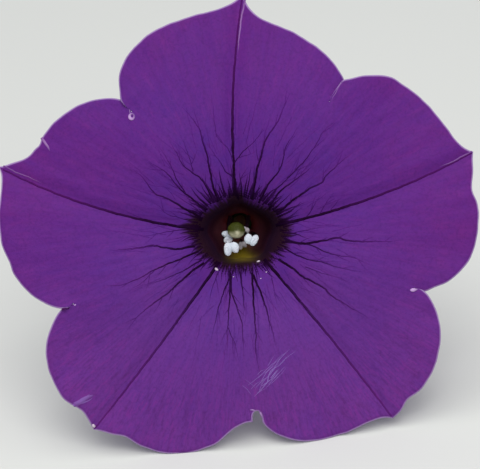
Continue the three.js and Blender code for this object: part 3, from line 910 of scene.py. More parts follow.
# strength, width, then stops of (distance, angle)
TUCKS = [
    # folds of the rim: a pale stroke, partly the pale rim and partly a painted highlight on the
    # fold
    (0.50, 0.50, [(32.1, 154.6), (31.4, 155.3), (30.8, 156.0), (30.2, 156.9)]),
    # light lines beside the midribs, near their tips: painted highlights on the creases there,
    # partly the pale rim that folds forward
    (0.40, 0.34, [(34.2, 88.6), (31.8, 89.4), (29.3, 90.0), (26.2, 90.6)]),
    (0.26, 0.26, [(36.0, 164.3), (34.2, 164.9), (31.5, 165.5), (29.9, 166.0)]),
    (0.28, 0.28, [(36.0, 19.2), (33.8, 18.7), (32.3, 18.3), (30.7, 18.2)]),
    # the seam that runs in from the notch of the top and the right lobe
    (0.36, 0.14, [(26.6, 55.3), (25.4, 55.0), (24.0, 54.8), (22.6, 54.6)]),
]
SCRATCHES = [
    # by the tip of the lower left lobe
    (0.26, 0.90, [(35.0, 226.2), (34.3, 226.6), (33.5, 227.0), (32.7, 227.5), (32.0, 228.1)]),
    (0.44, 0.60, [(35.2, 226.2), (34.7, 226.4), (34.3, 226.7), (33.9, 227.1)]),
    (0.30, 0.30, [(34.4, 226.3), (33.4, 226.6), (32.2, 227.3)]),
    (0.26, 0.26, [(34.2, 227.2), (33.2, 228.0), (32.3, 228.4)]),
    # between the two lower lobes
    (0.42, 0.15, [(23.6, 276.1), (22.3, 279.9), (20.7, 282.4), (20.0, 287.6), (19.1, 291.8)]),
    (0.34, 0.12, [(23.2, 276.9), (21.8, 279.3), (21.0, 283.0)]),
    (0.42, 0.16, [(22.6, 278.2), (21.7, 282.5), (20.6, 286.2)]),
    (0.30, 0.12, [(20.9, 279.7), (20.0, 283.6), (19.1, 286.6)]),
    (0.36, 0.14, [(22.5, 280.6), (21.5, 284.3), (20.6, 287.9)]),
    (0.36, 0.13, [(20.6, 283.6), (19.2, 287.9), (18.5, 293.5)]),
    (0.30, 0.12, [(20.1, 286.2), (19.5, 290.4), (19.0, 295.8)]),
    (0.26, 0.12, [(24.0, 274.9), (23.3, 277.3), (23.0, 279.6)]),
    (0.46, 0.18, [(21.7, 281.8), (21.0, 284.2), (20.7, 285.7)]),
    (0.34, 0.12, [(21.9, 278.0), (20.6, 281.2), (19.9, 285.9)]),
    (0.28, 0.12, [(22.9, 279.6), (22.0, 283.6), (21.4, 286.6)]),
    (0.30, 0.13, [(21.3, 281.0), (20.3, 284.8), (19.6, 287.2)]),
    (0.26, 0.12, [(19.9, 281.6), (19.0, 284.2), (18.4, 286.0)]),
    (0.24, 0.12, [(22.1, 283.4), (21.3, 287.0), (20.7, 289.2)]),
    (0.24, 0.13, [(22.3, 270.9), (22.9, 272.6), (23.9, 274.2)]),
    (0.18, 0.12, [(21.4, 272.0), (22.6, 275.4), (23.4, 276.0)]),
    (0.24, 0.13, [(22.3, 272.9), (21.5, 276.2), (20.7, 279.8), (20.4, 282.8)]),
    (0.30, 0.13, [(22.7, 275.9), (21.8, 278.7), (21.4, 280.9), (20.5, 284.1)]),
    (0.34, 0.13, [(21.3, 277.3), (20.5, 280.3), (19.9, 283.1), (19.3, 287.2), (18.4, 293.4)]),
    (0.44, 0.15, [(22.2, 280.5), (21.3, 281.2), (20.6, 283.4), (19.7, 286.2)]),
    (0.26, 0.12, [(21.9, 283.2), (21.2, 285.7), (20.5, 289.0)]),
    (0.24, 0.13, [(22.9, 274.0), (22.2, 276.0), (21.8, 278.1)]),
    (0.28, 0.12, [(20.9, 277.0), (20.4, 278.6), (20.3, 281.0)]),
    (0.22, 0.12, [(22.4, 277.6), (21.6, 279.6), (21.5, 282.0)]),
    (0.24, 0.12, [(19.6, 284.6), (18.9, 288.6), (18.8, 291.0)]),
]


def scar(strength, width, stops, pale):
    """A pale line that fades at both ends."""
    flat = wandering(smooth_route(stops), 0.03)
    ends = np.sin(np.pi * np.linspace(0.1, 0.97, len(flat))) ** 0.5
    return {**vein(flat, width, strength, 0.6), "dark": strength * ends, "pale": pale}


scars = [scar(*one, 0.5) for one in TUCKS] + [scar(*one, 1.0) for one in SCRATCHES]

face_veins = midribs + main_veins + forks + fringe + faint + scars
print("veins:", len(main_veins), "by hand,", len(forks), "forks,", len(fringe), "in the fringe,",
      len(faint), "faint")

# %% [markdown]
# ## Laying the sheet
#
# Now the sheet's points are worked out and joined. A vein lies in a shallow groove of the face,
# so each point of the face sinks a little, the more the closer and the stronger the nearest vein
# is. The measures that the finish reads are stored with the points: how far along the petal they
# are, how far from the rim, the direction from the middle, and whether they are on the back.

# %% Grooves, thickness and stain
GROOVE_DEPTH = 0.05
GROOVE_WIDTH = 0.32
# the olive patch sits only on the tube's floor, where the light falls in: partly painted light
OLIVE_ANGLE, OLIVE_SPREAD = 274, 22
STAIN_REACH = (7.0, 4.9)  # half the width and half the height of the stain
STAIN_DROP = 0.45  # how far it lies lower than the throat
# how much the pale line of the rim thins out, in mm, on its way into each notch
SLIT_FADE = [0.28, 0.36, 0.4, 0.0, 0.34]
FAR = 9.0  # any place that is farther than this counts as far from the rim or the stain
# how far the stain runs out along each midrib, and how wide
STAIN_TONGUES = [(0.6, 8), (1.7, 15), (1.2, 12), (0.5, 7), (0.5, 7)]

routes = kdtree.KDTree(sum(len(v["flat"]) for v in face_veins))
strengths = []
for one in midribs + main_veins + forks:
    for point, width in zip(one["flat"], one["width"]):
        routes.insert((*point, 0), len(strengths))
        strengths.append(width / MIDRIB_WIDTH)
routes.balance()


def groove(points):
    """How far the face sinks at points, in mm, along the veins."""
    depths = np.zeros(len(points))
    for n, (x, y, z) in enumerate(points):
        if z > -MOUTH_DEPTH:
            _, near, distance = routes.find((x, y, 0))
            depths[n] = strengths[near] * math.exp(-((distance / GROOVE_WIDTH) ** 2))
    return GROOVE_DEPTH * depths


def thickness(angle, along):
    """Petals are thickest at their midribs and in the tube, and thin out to the rim."""
    share = field(angle, MOUTH_RADIUS + np.maximum(along, 0))[2]
    near_rib = bell(share * np.radians(HALF_LOBE) * (MOUTH_RADIUS + np.maximum(along, 0)), 0.9)
    return PETAL_THICKNESS * (1 - 0.3 * soft_step(4, 30, along) + 0.35 * near_rib)


def stain(angle, along):
    """How far a place lies inside the dark stain, in mm: the stain is a wide oval."""
    radius = tube_radius(angle, -MOUTH_DEPTH) + along
    x, y = np.cos(np.radians(angle)), np.sin(np.radians(angle))
    reach = 1 / np.hypot(x / STAIN_REACH[0], y / STAIN_REACH[1]) - STAIN_DROP * y
    for lobe, (tongue, width) in enumerate(STAIN_TONGUES):
        reach = reach + tongue * bell(turn_from(rib_angle(lobe, radius), angle), width)
    return np.minimum(reach - radius, FAR)


def lower_side(angle, along):
    """1 on the lobes below the throat, which the light falls on, and 0 above it."""
    return soft_step(0.15, -0.85, np.sin(np.radians(angle))) * soft_step(2, 10, along)


def skin(angle, along, towards):
    """Points of one side of the sheet: towards is 1 for the face and -1 for the back."""
    normal = sheet_normal(angle, along)
    half = thickness(angle, along)[..., None] / 2
    return on_sheet(angle, along) + towards * half * normal, normal


# %% Points, faces and measures of the petals
face, face_normal = skin(face_angle, face_along, 1)
flat_face = face.reshape(-1, 3)
sunk = groove(flat_face)[:, None] * face_normal.reshape(-1, 3)
face = (flat_face - sunk).reshape(face.shape)
back, _ = skin(back_angle, back_along, -1)
rim = on_sheet(rim_angle, rim_along)

petal_points = np.concatenate([face.reshape(-1, 3), rim, back[::-1].reshape(-1, 3)])
rows_in_all = len(face) + 1 + len(back)
petal_faces = ring_faces(rows_in_all, COUNT)
last_row = (rows_in_all - 1) * COUNT
n = np.arange(COUNT)
foot = np.stack([last_row + n, n, (n + 1) % COUNT, last_row + (n + 1) % COUNT], -1)
petal_faces = np.concatenate([petal_faces, foot])

petal_angle = np.concatenate([face_angle.ravel(), rim_angle, back_angle[::-1].ravel()])
petal_along = np.concatenate([face_along.ravel(), rim_along, back_along[::-1].ravel()])
on_back = np.repeat([0, 0.5, 1], [face_angle.size, COUNT, back_angle.size])

# the rim of each half lobe, to measure how far every point is from its own rim
RIM_SEARCH = 8
half_of_column = 2 * of_lobe + of_side
edges = []
for half in range(2 * len(LOBES)):
    own = np.flatnonzero(half_of_column == half)
    edge = kdtree.KDTree(len(own))
    for k in own:
        edge.insert(rim[k], int(k))
    edge.balance()
    edges.append(edge)
half_of_point = np.tile(half_of_column, rows_in_all)
from_rim = np.array([edges[h].find(p)[2] if s > RIM_SEARCH else FAR
                     for h, p, s in zip(half_of_point, petal_points, petal_along)])
in_notch = np.tile(np.where(of_side == 1, of_lobe, of_lobe - 1), rows_in_all)
petal_radius = np.tile(MOUTH, rows_in_all) + petal_along
inwards = soft_step(NOTCH_MOUTH[in_notch] + 0.4, NOTCH_END[in_notch], petal_radius)
from_rim += np.array(SLIT_FADE)[in_notch] * inwards
# the olive mask: partly the tube's own yellow, partly painted light on the floor where the light
# falls in
olive_and_painted_light = (
    bell(turn_from(OLIVE_ANGLE, petal_angle), OLIVE_SPREAD)
    * soft_step(-25, -12, petal_along) * soft_step(0.8, -0.8, petal_along)
    * (0.7 + 0.3 * soft_step(-0.4, -2.6, petal_along))
)
hairy_tube = (on_back == 1) & (petal_along < -1) & (petal_along > -24)

petals = make_object("petals", petal_points, petal_faces, {
    "along": petal_along, "rim": from_rim, "back": on_back,
    "spoke": spokes(petal_angle, petal_along), "stain": stain(petal_angle, petal_along),
    "lower": lower_side(petal_angle, petal_along), "dust": hairy_tube,
    "olive_and_painted_light": olive_and_painted_light * (1 - on_back),
}, PETAL)
report(petals)

# %% [markdown]
# ## Sweeping the veins
#
# Each vein is a thin, flattened, tapering cord that lies half sunk in its groove. Geometry Nodes
# sweep a small oval along every route at once: the routes come in as loose edges whose points
# carry a width, a darkness and the petal's normal, and the oval keeps its flat side on the petal
# because the curve's normal is set from that.

# %% Trees of Geometry Nodes
class Tree:
    """A tree of Geometry Nodes with named number inputs, that ends in plain mesh."""

    def __init__(self, name, *labels):
        self.tree = bpy.data.node_groups.new(name, "GeometryNodeTree")
        face = self.tree.interface
        face.new_socket("Geometry", in_out="INPUT", socket_type="NodeSocketGeometry")
        for label in labels:
            face.new_socket(label, in_out="INPUT", socket_type="NodeSocketFloat")
        face.new_socket("Geometry", in_out="OUTPUT", socket_type="NodeSocketGeometry")
        self.start = self.tree.nodes.new("NodeGroupInput").outputs

    def node(self, kind, inputs=None, **settings):
        """Any node. Inputs go by name or place, and a node given as one is its first output."""
        made = self.tree.nodes.new(kind)
        for key, value in settings.items():
            setattr(made, key, value)
        for key, value in (inputs or {}).items():
            if isinstance(value, bpy.types.Node):
                value = value.outputs[0]
            if isinstance(value, bpy.types.NodeSocket):
                self.tree.links.new(value, made.inputs[key])
            else:
                made.inputs[key].default_value = value
        return made

    def measure(self, label, kind="FLOAT"):
        """An attribute of the mesh that comes in."""
        return self.node("GeometryNodeInputNamedAttribute", {"Name": label}, data_type=kind)

    def end(self, geometry, material):
        plain = self.node("GeometryNodeRealizeInstances", {"Geometry": geometry})
        smooth = self.node("GeometryNodeSetShadeSmooth", {"Geometry": plain})
        inputs = {"Geometry": smooth, "Material": material}
        self.node("NodeGroupOutput", {0: self.node("GeometryNodeSetMaterial", inputs)})
        return self.tree


def sweep_tree(name, sides, flatness, material):
    """Sweeps an oval along loose edges, whose points carry a width and an up direction."""
    tree = Tree(name, "Thickening")
    radius = tree.node("ShaderNodeMath", {0: tree.measure("width"), 1: tree.start["Thickening"]},
                       operation="MULTIPLY")
    curve = tree.node("GeometryNodeMeshToCurve", {"Mesh": tree.start["Geometry"]})
    curve = tree.node("GeometryNodeSetCurveRadius", {"Curve": curve, "Radius": radius})
    upright = {"Curve": curve, "Normal": tree.measure("up", "FLOAT_VECTOR")}
    curve = tree.node("GeometryNodeSetCurveNormal", upright, mode="FREE")
    ring = tree.node("GeometryNodeCurvePrimitiveCircle", {"Resolution": sides, "Radius": 1.0})
    oval = tree.node("GeometryNodeTransform", {"Geometry": ring, "Scale": (flatness, 1.0, 1.0)})
    swept = tree.node("GeometryNodeCurveToMesh", {
        "Curve": curve, "Profile Curve": oval, "Fill Caps": True,
        "Scale": tree.node("GeometryNodeInputRadius"),
    })
    return tree.end(swept, material)


def input_name(tree, label):
    """The identifier of a tree's named input, which is how a modifier knows it."""
    return next(s.identifier for s in tree.interface.items_tree
                if s.item_type == "SOCKET" and s.in_out == "INPUT" and s.name == label)


def with_tree(name, mesh, tree, **inputs):
    """A plain mesh object: a mesh run through a tree of Geometry Nodes."""
    holder = as_object(name + "_routes", mesh)
    modifier = holder.modifiers.new("tree", "NODES")
    modifier.node_group = tree
    for label, value in inputs.items():
        modifier[input_name(tree, label)] = value
    evaluated = holder.evaluated_get(bpy.context.evaluated_depsgraph_get())
    result = bpy.data.meshes.new_from_object(evaluated)
    bpy.data.objects.remove(holder)
    result.name = name
    return as_object(name, result)


def routes_mesh(name, routes_3d):
    """Loose edges along routes. Each route has points in mm, normals, widths and measures."""
    points, edges = [], []
    for route in routes_3d:
        first = len(points)
        points.extend(laid(route["points"]))
        edges.extend((first + k, first + k + 1) for k in range(len(route["points"]) - 1))
    mesh = bpy.data.meshes.new(name)
    mesh.from_pydata([tuple(p) for p in points], edges, [])
    store(mesh, {key: np.concatenate([route[key] for route in routes_3d])
                 for key in routes_3d[0] if key != "points"})
    return mesh


# %% Veins of the face
VEIN_FLATNESS = 0.3
BACK_RIB_WIDTH = 1.0
SHOWN_THROUGH = 0.4  # how dark the veins of the face are on the back


def on_face(flat, towards=1):
    """Points on one skin of the petals over flat points, with their normals and measures."""
    radius = np.linalg.norm(flat, axis=1)
    angle = np.degrees(np.arctan2(flat[:, 1], flat[:, 0]))
    along = radius - tube_radius(angle, -MOUTH_DEPTH)
    points, normal = skin(angle, along, towards)
    return points, normal * towards, along, angle


def petal_route(points, normal, angle, along, width, dark, towards, pale=0.0):
    """A route on the petals, with all the measures that the petal's finish reads."""
    even = np.ones(len(along))
    return {"points": points, "up": laid_direction(normal), "width": width * MM / 2,
            "dark": dark, "pale": pale * even, "along": along, "spoke": spokes(angle, along),
            "rim": FAR * even, "back": (towards < 0) * even, "olive_and_painted_light": 0 * even,
            "stain": stain(angle, along), "lower": lower_side(angle, along)}


def face_route(one, towards=1, darkness=1.0):
    """A vein of the face on either side of the petals, half sunk in its groove on the face."""
    points, normal, along, angle = on_face(one["flat"], towards)
    sink = max(towards, 0) * GROOVE_DEPTH * one["width"] / MIDRIB_WIDTH
    return petal_route(points - sink[:, None] * normal, normal, angle, along, one["width"],
                       darkness * one["dark"], towards, one.get("pale", 0.0))


def back_rib(lobe):
    """The midrib on the petal's back, from the calyx along the tube to the tip."""
    mouth = float(tube_radius(rib_angle(lobe, 0), -MOUTH_DEPTH))
    along = np.arange(-22, LOBES[lobe][1] - mouth - 0.6, SAMPLE)
    angle = rib_angle(lobe, mouth + np.maximum(along, 0))
    points, normal = skin(angle, along, -1)
    t = np.linspace(0, 1, len(along))
    width, dark = blend(BACK_RIB_WIDTH, 0.28, t**1.4), blend(0.2, 0.5, t)
    return petal_route(points, -normal, angle, along, width, dark, -1)


def vein_material(name):
    shader = Shader(name, Specular_IOR_Level=0.03)
    colour = petal_colour(shader)
    redness = shader.measure("along").step(4, 26)
    vein_hue = shader.mix(redness, VEIN_DARK, VEIN_RED)
    pale = shader.measure("pale")
    # tucks get pale pink, partly rim flesh and partly painted highlight; scratches get pale blue
    vein_hue = shader.mix(pale.step(0, 0.5), vein_hue, FOLD_PINK_AND_HIGHLIGHT)
    vein_hue = shader.mix(pale.step(0.5, 1), vein_hue, SCRATCH_BLUE)
    dark = shader.measure("dark")
    grain = shader.noise(shader.place(), 900, 2)
    mask = (dark * (0.82 + 0.36 * grain)).clipped()
    return shader.finish(shader.mix(mask, colour, vein_hue), 0.6 + 0.1 * grain)


VEIN = vein_material("vein_stain")
vein_tree = sweep_tree("vein_sweep", 6, VEIN_FLATNESS, VEIN)
vein_routes = [face_route(one) for one in face_veins]
vein_routes += [back_rib(i) for i in range(len(LOBES))]
vein_routes += [face_route(one, -1, SHOWN_THROUGH) for one in main_veins]
veins = with_tree("veins", routes_mesh("veins", vein_routes), vein_tree, Thickening=1.0)
report(veins)

# %% [markdown]
# ## Cords of flesh: threads and style
#
# The threads of the stamens and the style are round cords that follow a path. The tree of nodes
# that sweeps the veins sweeps them too, with a round profile. Only the path, the width along it
# and the material differ.

# %% Cords, and pieces joined
def cord_route(path, up=(1.0, 0.0, 0.0), **measures):
    """A route for the sweep from a path whose fourth column is the radius in mm."""
    return {"points": path[:, :3], "width": path[:, 3] * MM,
            "up": np.tile(laid_direction(np.array(up)), (len(path), 1)), **measures}


def joined(name, parts):
    """One object of several, with their materials and measures kept."""
    bm = bmesh.new()
    materials = []
    for part in parts:
        first = len(bm.faces)
        bm.from_mesh(part.data)
        bm.faces.ensure_lookup_table()
        places = []
        for material in part.data.materials:
            if material not in materials:
                materials.append(material)
            places.append(materials.index(material))
        for face in bm.faces[first:]:
            face.material_index = places[face.material_index]
            face.smooth = True
        bpy.data.objects.remove(part)
    mesh = bpy.data.meshes.new(name)
    bm.to_mesh(mesh)
    bm.free()
    for material in materials:
        mesh.materials.append(material)
    return as_object(name, mesh)


# %% [markdown]
# ## The finish of the green and pale parts
#
# Sepals and stalk are matt, juicy green with lighter veins and a bloom of fine hairs. The stigma
# is moist, so it alone gets a coat, and its moist spot carries a painted highlight. The style is
# pale. The threads are dark violet, partly their own stain and partly painted shade of the deep
# tube, and an open anther is covered in bluish-white pollen that looks like powder. The small
# anthers that are still closed are darker and greyer, partly their own colour and partly painted
# shade.

# %% Materials of the small parts
LEAF_GREEN = hue(104, 140, 62)
LEAF_DEEP = hue(66, 100, 42)
LEAF_PALE = hue(160, 182, 112)
STIGMA_GREEN = hue(54, 58, 16)
STIGMA_CREAM = hue(184, 180, 152)
STYLE_PALE = hue(178, 146, 116)
# dark violet of the threads: partly their own stain, partly painted shade of the deep tube
THREAD_DARK_AND_SHADED = hue(74, 36, 66)
POLLEN = hue(240, 243, 246)
POLLEN_SHADE = hue(194, 208, 216)
SAC_LILAC = hue(190, 184, 200)
# the closed anthers' darker grey: partly their own colour, partly painted shade of the deep tube
# where they sit
SAC_CLOSED_AND_SHADED = hue(156, 144, 154)


def leaf_material(name, light, deep):
    shader = Shader(name, Specular_IOR_Level=0.35, Sheen_Weight=0.3, Sheen_Roughness=0.4,
                    Sheen_Tint=hue(210, 225, 190))
    place = shader.place()
    clouds = shader.noise(place, 160, 3)
    grain = shader.noise(place, 1400, 2)
    spoke = shader.measure("spoke", vector=True)
    lines = shader.noise(shader.scaled(spoke, (70, 70, 0.6)), 1.0, 2)
    ridge = shader.measure("ridge")
    colour = shader.mix((clouds * 1.5 - 0.25).clipped(), deep, light)
    colour = shader.mix(lines.step(0.5, 0.75) * 0.4, colour, LEAF_PALE)
    colour = shader.mix(ridge.clipped() * 0.65, colour, LEAF_PALE)
    height = grain * 0.5 + lines * 0.6 + shader.cells(place, 2600) * 0.4
    return shader.finish(colour, 0.5 + clouds * 0.2, height, depth=0.12)


def stigma_material():
    shader = Shader("stigma_moist", Specular_IOR_Level=0.08, Coat_Roughness=0.15)
    place = shader.place()
    pale = shader.measure("pale")
    grain = shader.cells(place, 3800)
    mottle = shader.noise(place, 1500, 2)
    # cream where the pale measure is high: a painted highlight on the moist spot, and the paler
    # lower half
    colour = shader.mix((pale * (0.7 + 0.6 * mottle)).clipped(), STIGMA_GREEN, STIGMA_CREAM)
    return shader.finish(colour, 0.42 + grain * 0.2, grain + mottle * 0.5, 0.06, pale * 0.3)


def plain_flesh(name, colour, darker):
    shader = Shader(name, Specular_IOR_Level=0.4)
    place = shader.place()
    clouds = shader.noise(place, 700, 3)
    return shader.finish(shader.mix(clouds, colour, darker), 0.4 + clouds * 0.25,
                         shader.noise(place, 2600, 2), depth=0.03)


def pollen_material():
    shader = Shader("pollen", Specular_IOR_Level=0.2, Sheen_Weight=0.4, Sheen_Roughness=0.6)
    place = shader.place()
    clouds = shader.noise(place, 900, 2)
    colour = shader.mix(clouds.step(0.3, 0.7), POLLEN_SHADE, POLLEN)
    return shader.finish(colour, 0.8 + clouds * 0.1, shader.noise(place, 9000, 1), depth=0.02)


SEPAL = leaf_material("sepal_green", LEAF_GREEN, LEAF_DEEP)
STALK = leaf_material("stalk_green", hue(128, 158, 84), hue(92, 122, 58))
STIGMA_SKIN = stigma_material()
STYLE_SKIN = plain_flesh("style_pale", STYLE_PALE, hue(150, 124, 92))
THREAD_SKIN = plain_flesh("thread_violet", THREAD_DARK_AND_SHADED, hue(52, 22, 44))
SAC_SKIN = plain_flesh("anther_open", SAC_LILAC, POLLEN_SHADE)
CLOSED_AND_SHADED_SKIN = plain_flesh("anther_closed_and_shaded", SAC_CLOSED_AND_SHADED, hue(182, 180, 182))
POLLEN_SKIN = pollen_material()

# %% [markdown]
# ## Stamens
#
# Each of the five stamens grows out of the tube's wall as a thin thread and carries an anther of
# two sacs side by side, each split along its length to show pollen. A sac is a ball stretched
# along one axis, with a furrow pressed in by a formula. Geometry Nodes then strew pollen grains
# over the open furrow.

# %% Anthers and threads
STAMEN_ROOT = 22.0
# angle of the root on the tube, place of the anther, turn of the anther in its face, its size
STAMENS = [
    (55.6, (0.85, 0.3, -6.7), -10, 0.5),
    (132.3, (-1.82, -0.72, -5.2), -80, 0.84),
    (203.4, (-1.28, -2.4, -2.6), 15, 1.0),
    (275.1, (0.35, -1.95, -6.8), 20, 0.6),
    (341.8, (1.65, -1.1, -2.9), 165, 0.9),
]
# a sac's radius and half its length, how far it lies from the anther's middle, and its splay
SAC_RADIUS, SAC_HALF, SAC_APART, SAC_SPLAY = 0.64, 0.92, 0.47, 18
# the small closed anthers sit deepest in the tube, and their darker skin is partly painted shade
OPEN_SIZE = 0.7  # smaller anthers are still closed and carry no pollen


def ball(rows, count):
    """Directions over a ball, row by row between its poles, which lie at both ends of Y."""
    polar = np.pi * np.arange(1, rows) / rows
    turn = 2 * np.pi * np.arange(count) / count
    polar, turn = np.meshgrid(polar, turn, indexing="ij")
    across = np.sin(polar)
    return np.stack([across * np.cos(turn), np.cos(polar), -across * np.sin(turn)], -1)


def closed_ball(name, surface, poles, measures, material):
    """An object from rows of points between two poles."""
    rows, count = surface.shape[:2]
    points = np.vstack([poles[:1], surface.reshape(-1, 3), poles[1:]])
    last = len(points) - 1
    faces = [*ring_faces(rows, count, 1), *pole_faces(count, 1, 0, last - count, last)]
    return make_object(name, points, faces, measures, material)


def sac(name, place, turn, side, size):
    """One half of an anther: a cushion with a furrow down its front."""
    shape = ball(18, 24)
    x, y, z = np.moveaxis(shape, -1, 0)
    front = np.clip(z, 0, 1)
    furrow = 0.3 * front**2 * bell(x - side * 0.25, 0.3) * (1 - y**4)
    plump = 1 + 0.1 * np.sin(3 * y + side) - furrow
    surface = size * shape * plump[..., None] * (SAC_RADIUS, SAC_HALF, SAC_RADIUS)
    poles = size * np.array([[0, SAC_HALF, 0], [0, -SAC_HALF, 0]])
    spin = np.eye(3)
    spin[:2, :2] = turn_of_plane(turn + side * SAC_SPLAY)
    across = np.array([*flat_point(1.0, turn), 0])
    centre = np.array(place) + side * size * SAC_APART * across
    dust = np.concatenate([[0], (front > 0.1).ravel(), [0]])
    return closed_ball(name, surface @ spin.T + centre, poles @ spin.T + centre, {"dust": dust},
                       SAC_SKIN if size > OPEN_SIZE else CLOSED_AND_SHADED_SKIN)


def thread_route(root, place):
    """A thread that leaves the tube's wall and ends behind the anther."""
    x, y, z = place
    stops = []
    for depth in (STAMEN_ROOT, STAMEN_ROOT - 4):
        out, up = flat_point(tube_radius(root, -depth) - 0.9, root)
        stops.append((out, up + sway(-depth), -depth, 0.3))
    stops += [(x, y, z - 3.5, 0.26), (x, y, z - 0.1, 0.17)]
    return cord_route(smooth_path(stops, 0.5))


thread_tree = sweep_tree("thread_sweep", 10, 1.0, THREAD_SKIN)


def strewn_points(tree, seed):
    """Points on the faces whose dust measure is 1."""
    return tree.node("GeometryNodeDistributePointsOnFaces", {
        "Mesh": tree.start["Geometry"], "Selection": tree.measure("dust"),
        "Density": tree.start["Density"], "Seed": seed,
    })


def grain_tree(name, material):
    """Strews small balls over a mesh."""
    tree = Tree(name, "Density", "Size")
    inputs = {"Subdivisions": 1, "Radius": tree.start["Size"]}
    grain = tree.node("GeometryNodeMeshIcoSphere", inputs)
    size = tree.node("FunctionNodeRandomValue", {2: 0.6, 3: 1.25})
    inputs = {"Points": strewn_points(tree, 11), "Instance": grain, "Scale": size.outputs[1]}
    return tree.end(tree.node("GeometryNodeInstanceOnPoints", inputs), material)


GRAIN_DENSITY, GRAIN_SIZE = 9.0e7, 0.04 * MM
pollen_tree = grain_tree("pollen_strewing", POLLEN_SKIN)
stamens = []
for k, (root, place, turn, size) in enumerate(STAMENS, 1):
    halves_of_anther = [sac(f"sac_{k}_{side}", place, turn, side, size) for side in (-1, 1)]
    grains = [with_tree(f"grains_{k}_{n}", half.data, pollen_tree, Density=GRAIN_DENSITY,
                        Size=GRAIN_SIZE)
              for n, half in enumerate(halves_of_anther) if size > OPEN_SIZE]
    thread = with_tree(f"thread_{k}", routes_mesh(f"thread_{k}", [thread_route(root, place)]),
                       thread_tree, Thickening=1.0)
    stamens.append(joined(f"anther_and_thread_{k}", halves_of_anther + grains + [thread]))
    report(stamens[-1])

# %% [markdown]
# ## The pistil
#
# The pistil is an egg-shaped ovary deep in the calyx, a long style and the stigma, a moist green
# cushion with a notch across it. In the throat only the stigma shows, but a bloom can be looked
# at from all sides, so the whole is built.

# %% Ovary, style and stigma
OVARY_RADIUS, OVARY_HEIGHT = 1.35, 4.4
STIGMA_PLACE, STIGMA_RADIUS, STIGMA_HEIGHT = (-0.55, 0.25, -3.8), 1.3, 1.5


def stigma():
    shape = ball(24, 40)[..., [0, 2, 1]]
    x, y, z = np.moveaxis(shape, -1, 0)
    cleft = 0.09 * bell(y + 0.1, 0.14) * np.clip(z, 0, 1)
    bumpy = 0.03 * np.sin(9 * x) * np.sin(8 * y + 1)
    half = STIGMA_HEIGHT / 2
    surface = shape * (1 + bumpy - cleft)[..., None]
    surface = surface * (STIGMA_RADIUS, STIGMA_RADIUS * 0.92, half) + STIGMA_PLACE
    poles = np.array([[0, 0, half * 0.8], [0, 0, -half]]) + STIGMA_PLACE
    # a painted highlight on the moist spot, and the paler lower half
    painted_highlight = bell(np.hypot(x - 0.12, y + 0.38), 0.3)
    low = 0.75 * soft_step(0.0, -0.75, y)
    pale = np.concatenate([[0], np.maximum(painted_highlight, low).ravel(), [0.5]])
    return closed_ball("stigma", surface, poles, {"pale": pale}, STIGMA_SKIN)


def ovary_and_style():
    x, y, z = STIGMA_PLACE
    foot = -TUBE_LENGTH
    # depth and radius, up the middle of the tube
    middle = [(foot + 0.05, 0.7), (foot + 0.8, 1.2), (foot + OVARY_HEIGHT / 2, OVARY_RADIUS),
              (foot + 3.7, 0.7), (-28, 0.36), (-24, 0.33)]
    stops = [(0, sway(depth), depth, radius) for depth, radius in middle]
    stops += [(x * 0.4, blend(sway(-14), y, 0.4), -14, 0.31),
              (x, y, z - 1.2, 0.34), (x, y, z - 0.3, 0.5)]
    path = smooth_path(stops, 0.3)
    tree = sweep_tree("style_sweep", 16, 1.0, STYLE_SKIN)
    return with_tree("style", routes_mesh("style", [cord_route(path)]), tree, Thickening=1.0)


pistil = joined("pistil_of_bloom", [stigma(), ovary_and_style()])
report(pistil)

# %% [markdown]
# ## Calyx
#
# The calyx is one leafy sheet: a short cup round the tube's foot that divides into five narrow
# sepals. It is laid out as five like sectors, that meet halfway between the sepals. Low down the
# sectors join into the cup, and above its rim each narrows to a sepal, so the clefts between the
# sepals come by themselves.

# %% One sheet, five sectors
CUP_RIM, CUP_FLOOR = -30.0, -33.7
SEPAL_FOOT, SEPAL_TIP = -32.0, -17.0
SEPAL_SPREAD, SEPAL_CURVE = 4.6, 1.7  # how far a sepal bends out, and how late
SEPAL_HALF_WIDTH, SEPAL_THICKNESS = 1.7, 0.62
CUP_RADIUS = (float(tube_radius(0, CUP_RIM)) + 0.6) / math.cos(math.pi / 20) + 0.35
CALYX_ROWS, SEPAL_ROWS, SECTOR_COLUMNS = 10, 34, 15


def sepal_share(z):
    """0 at the depth of a sepal's foot and 1 at its tip."""
    return np.maximum((z - SEPAL_FOOT) / (SEPAL_TIP - SEPAL_FOOT), 0)


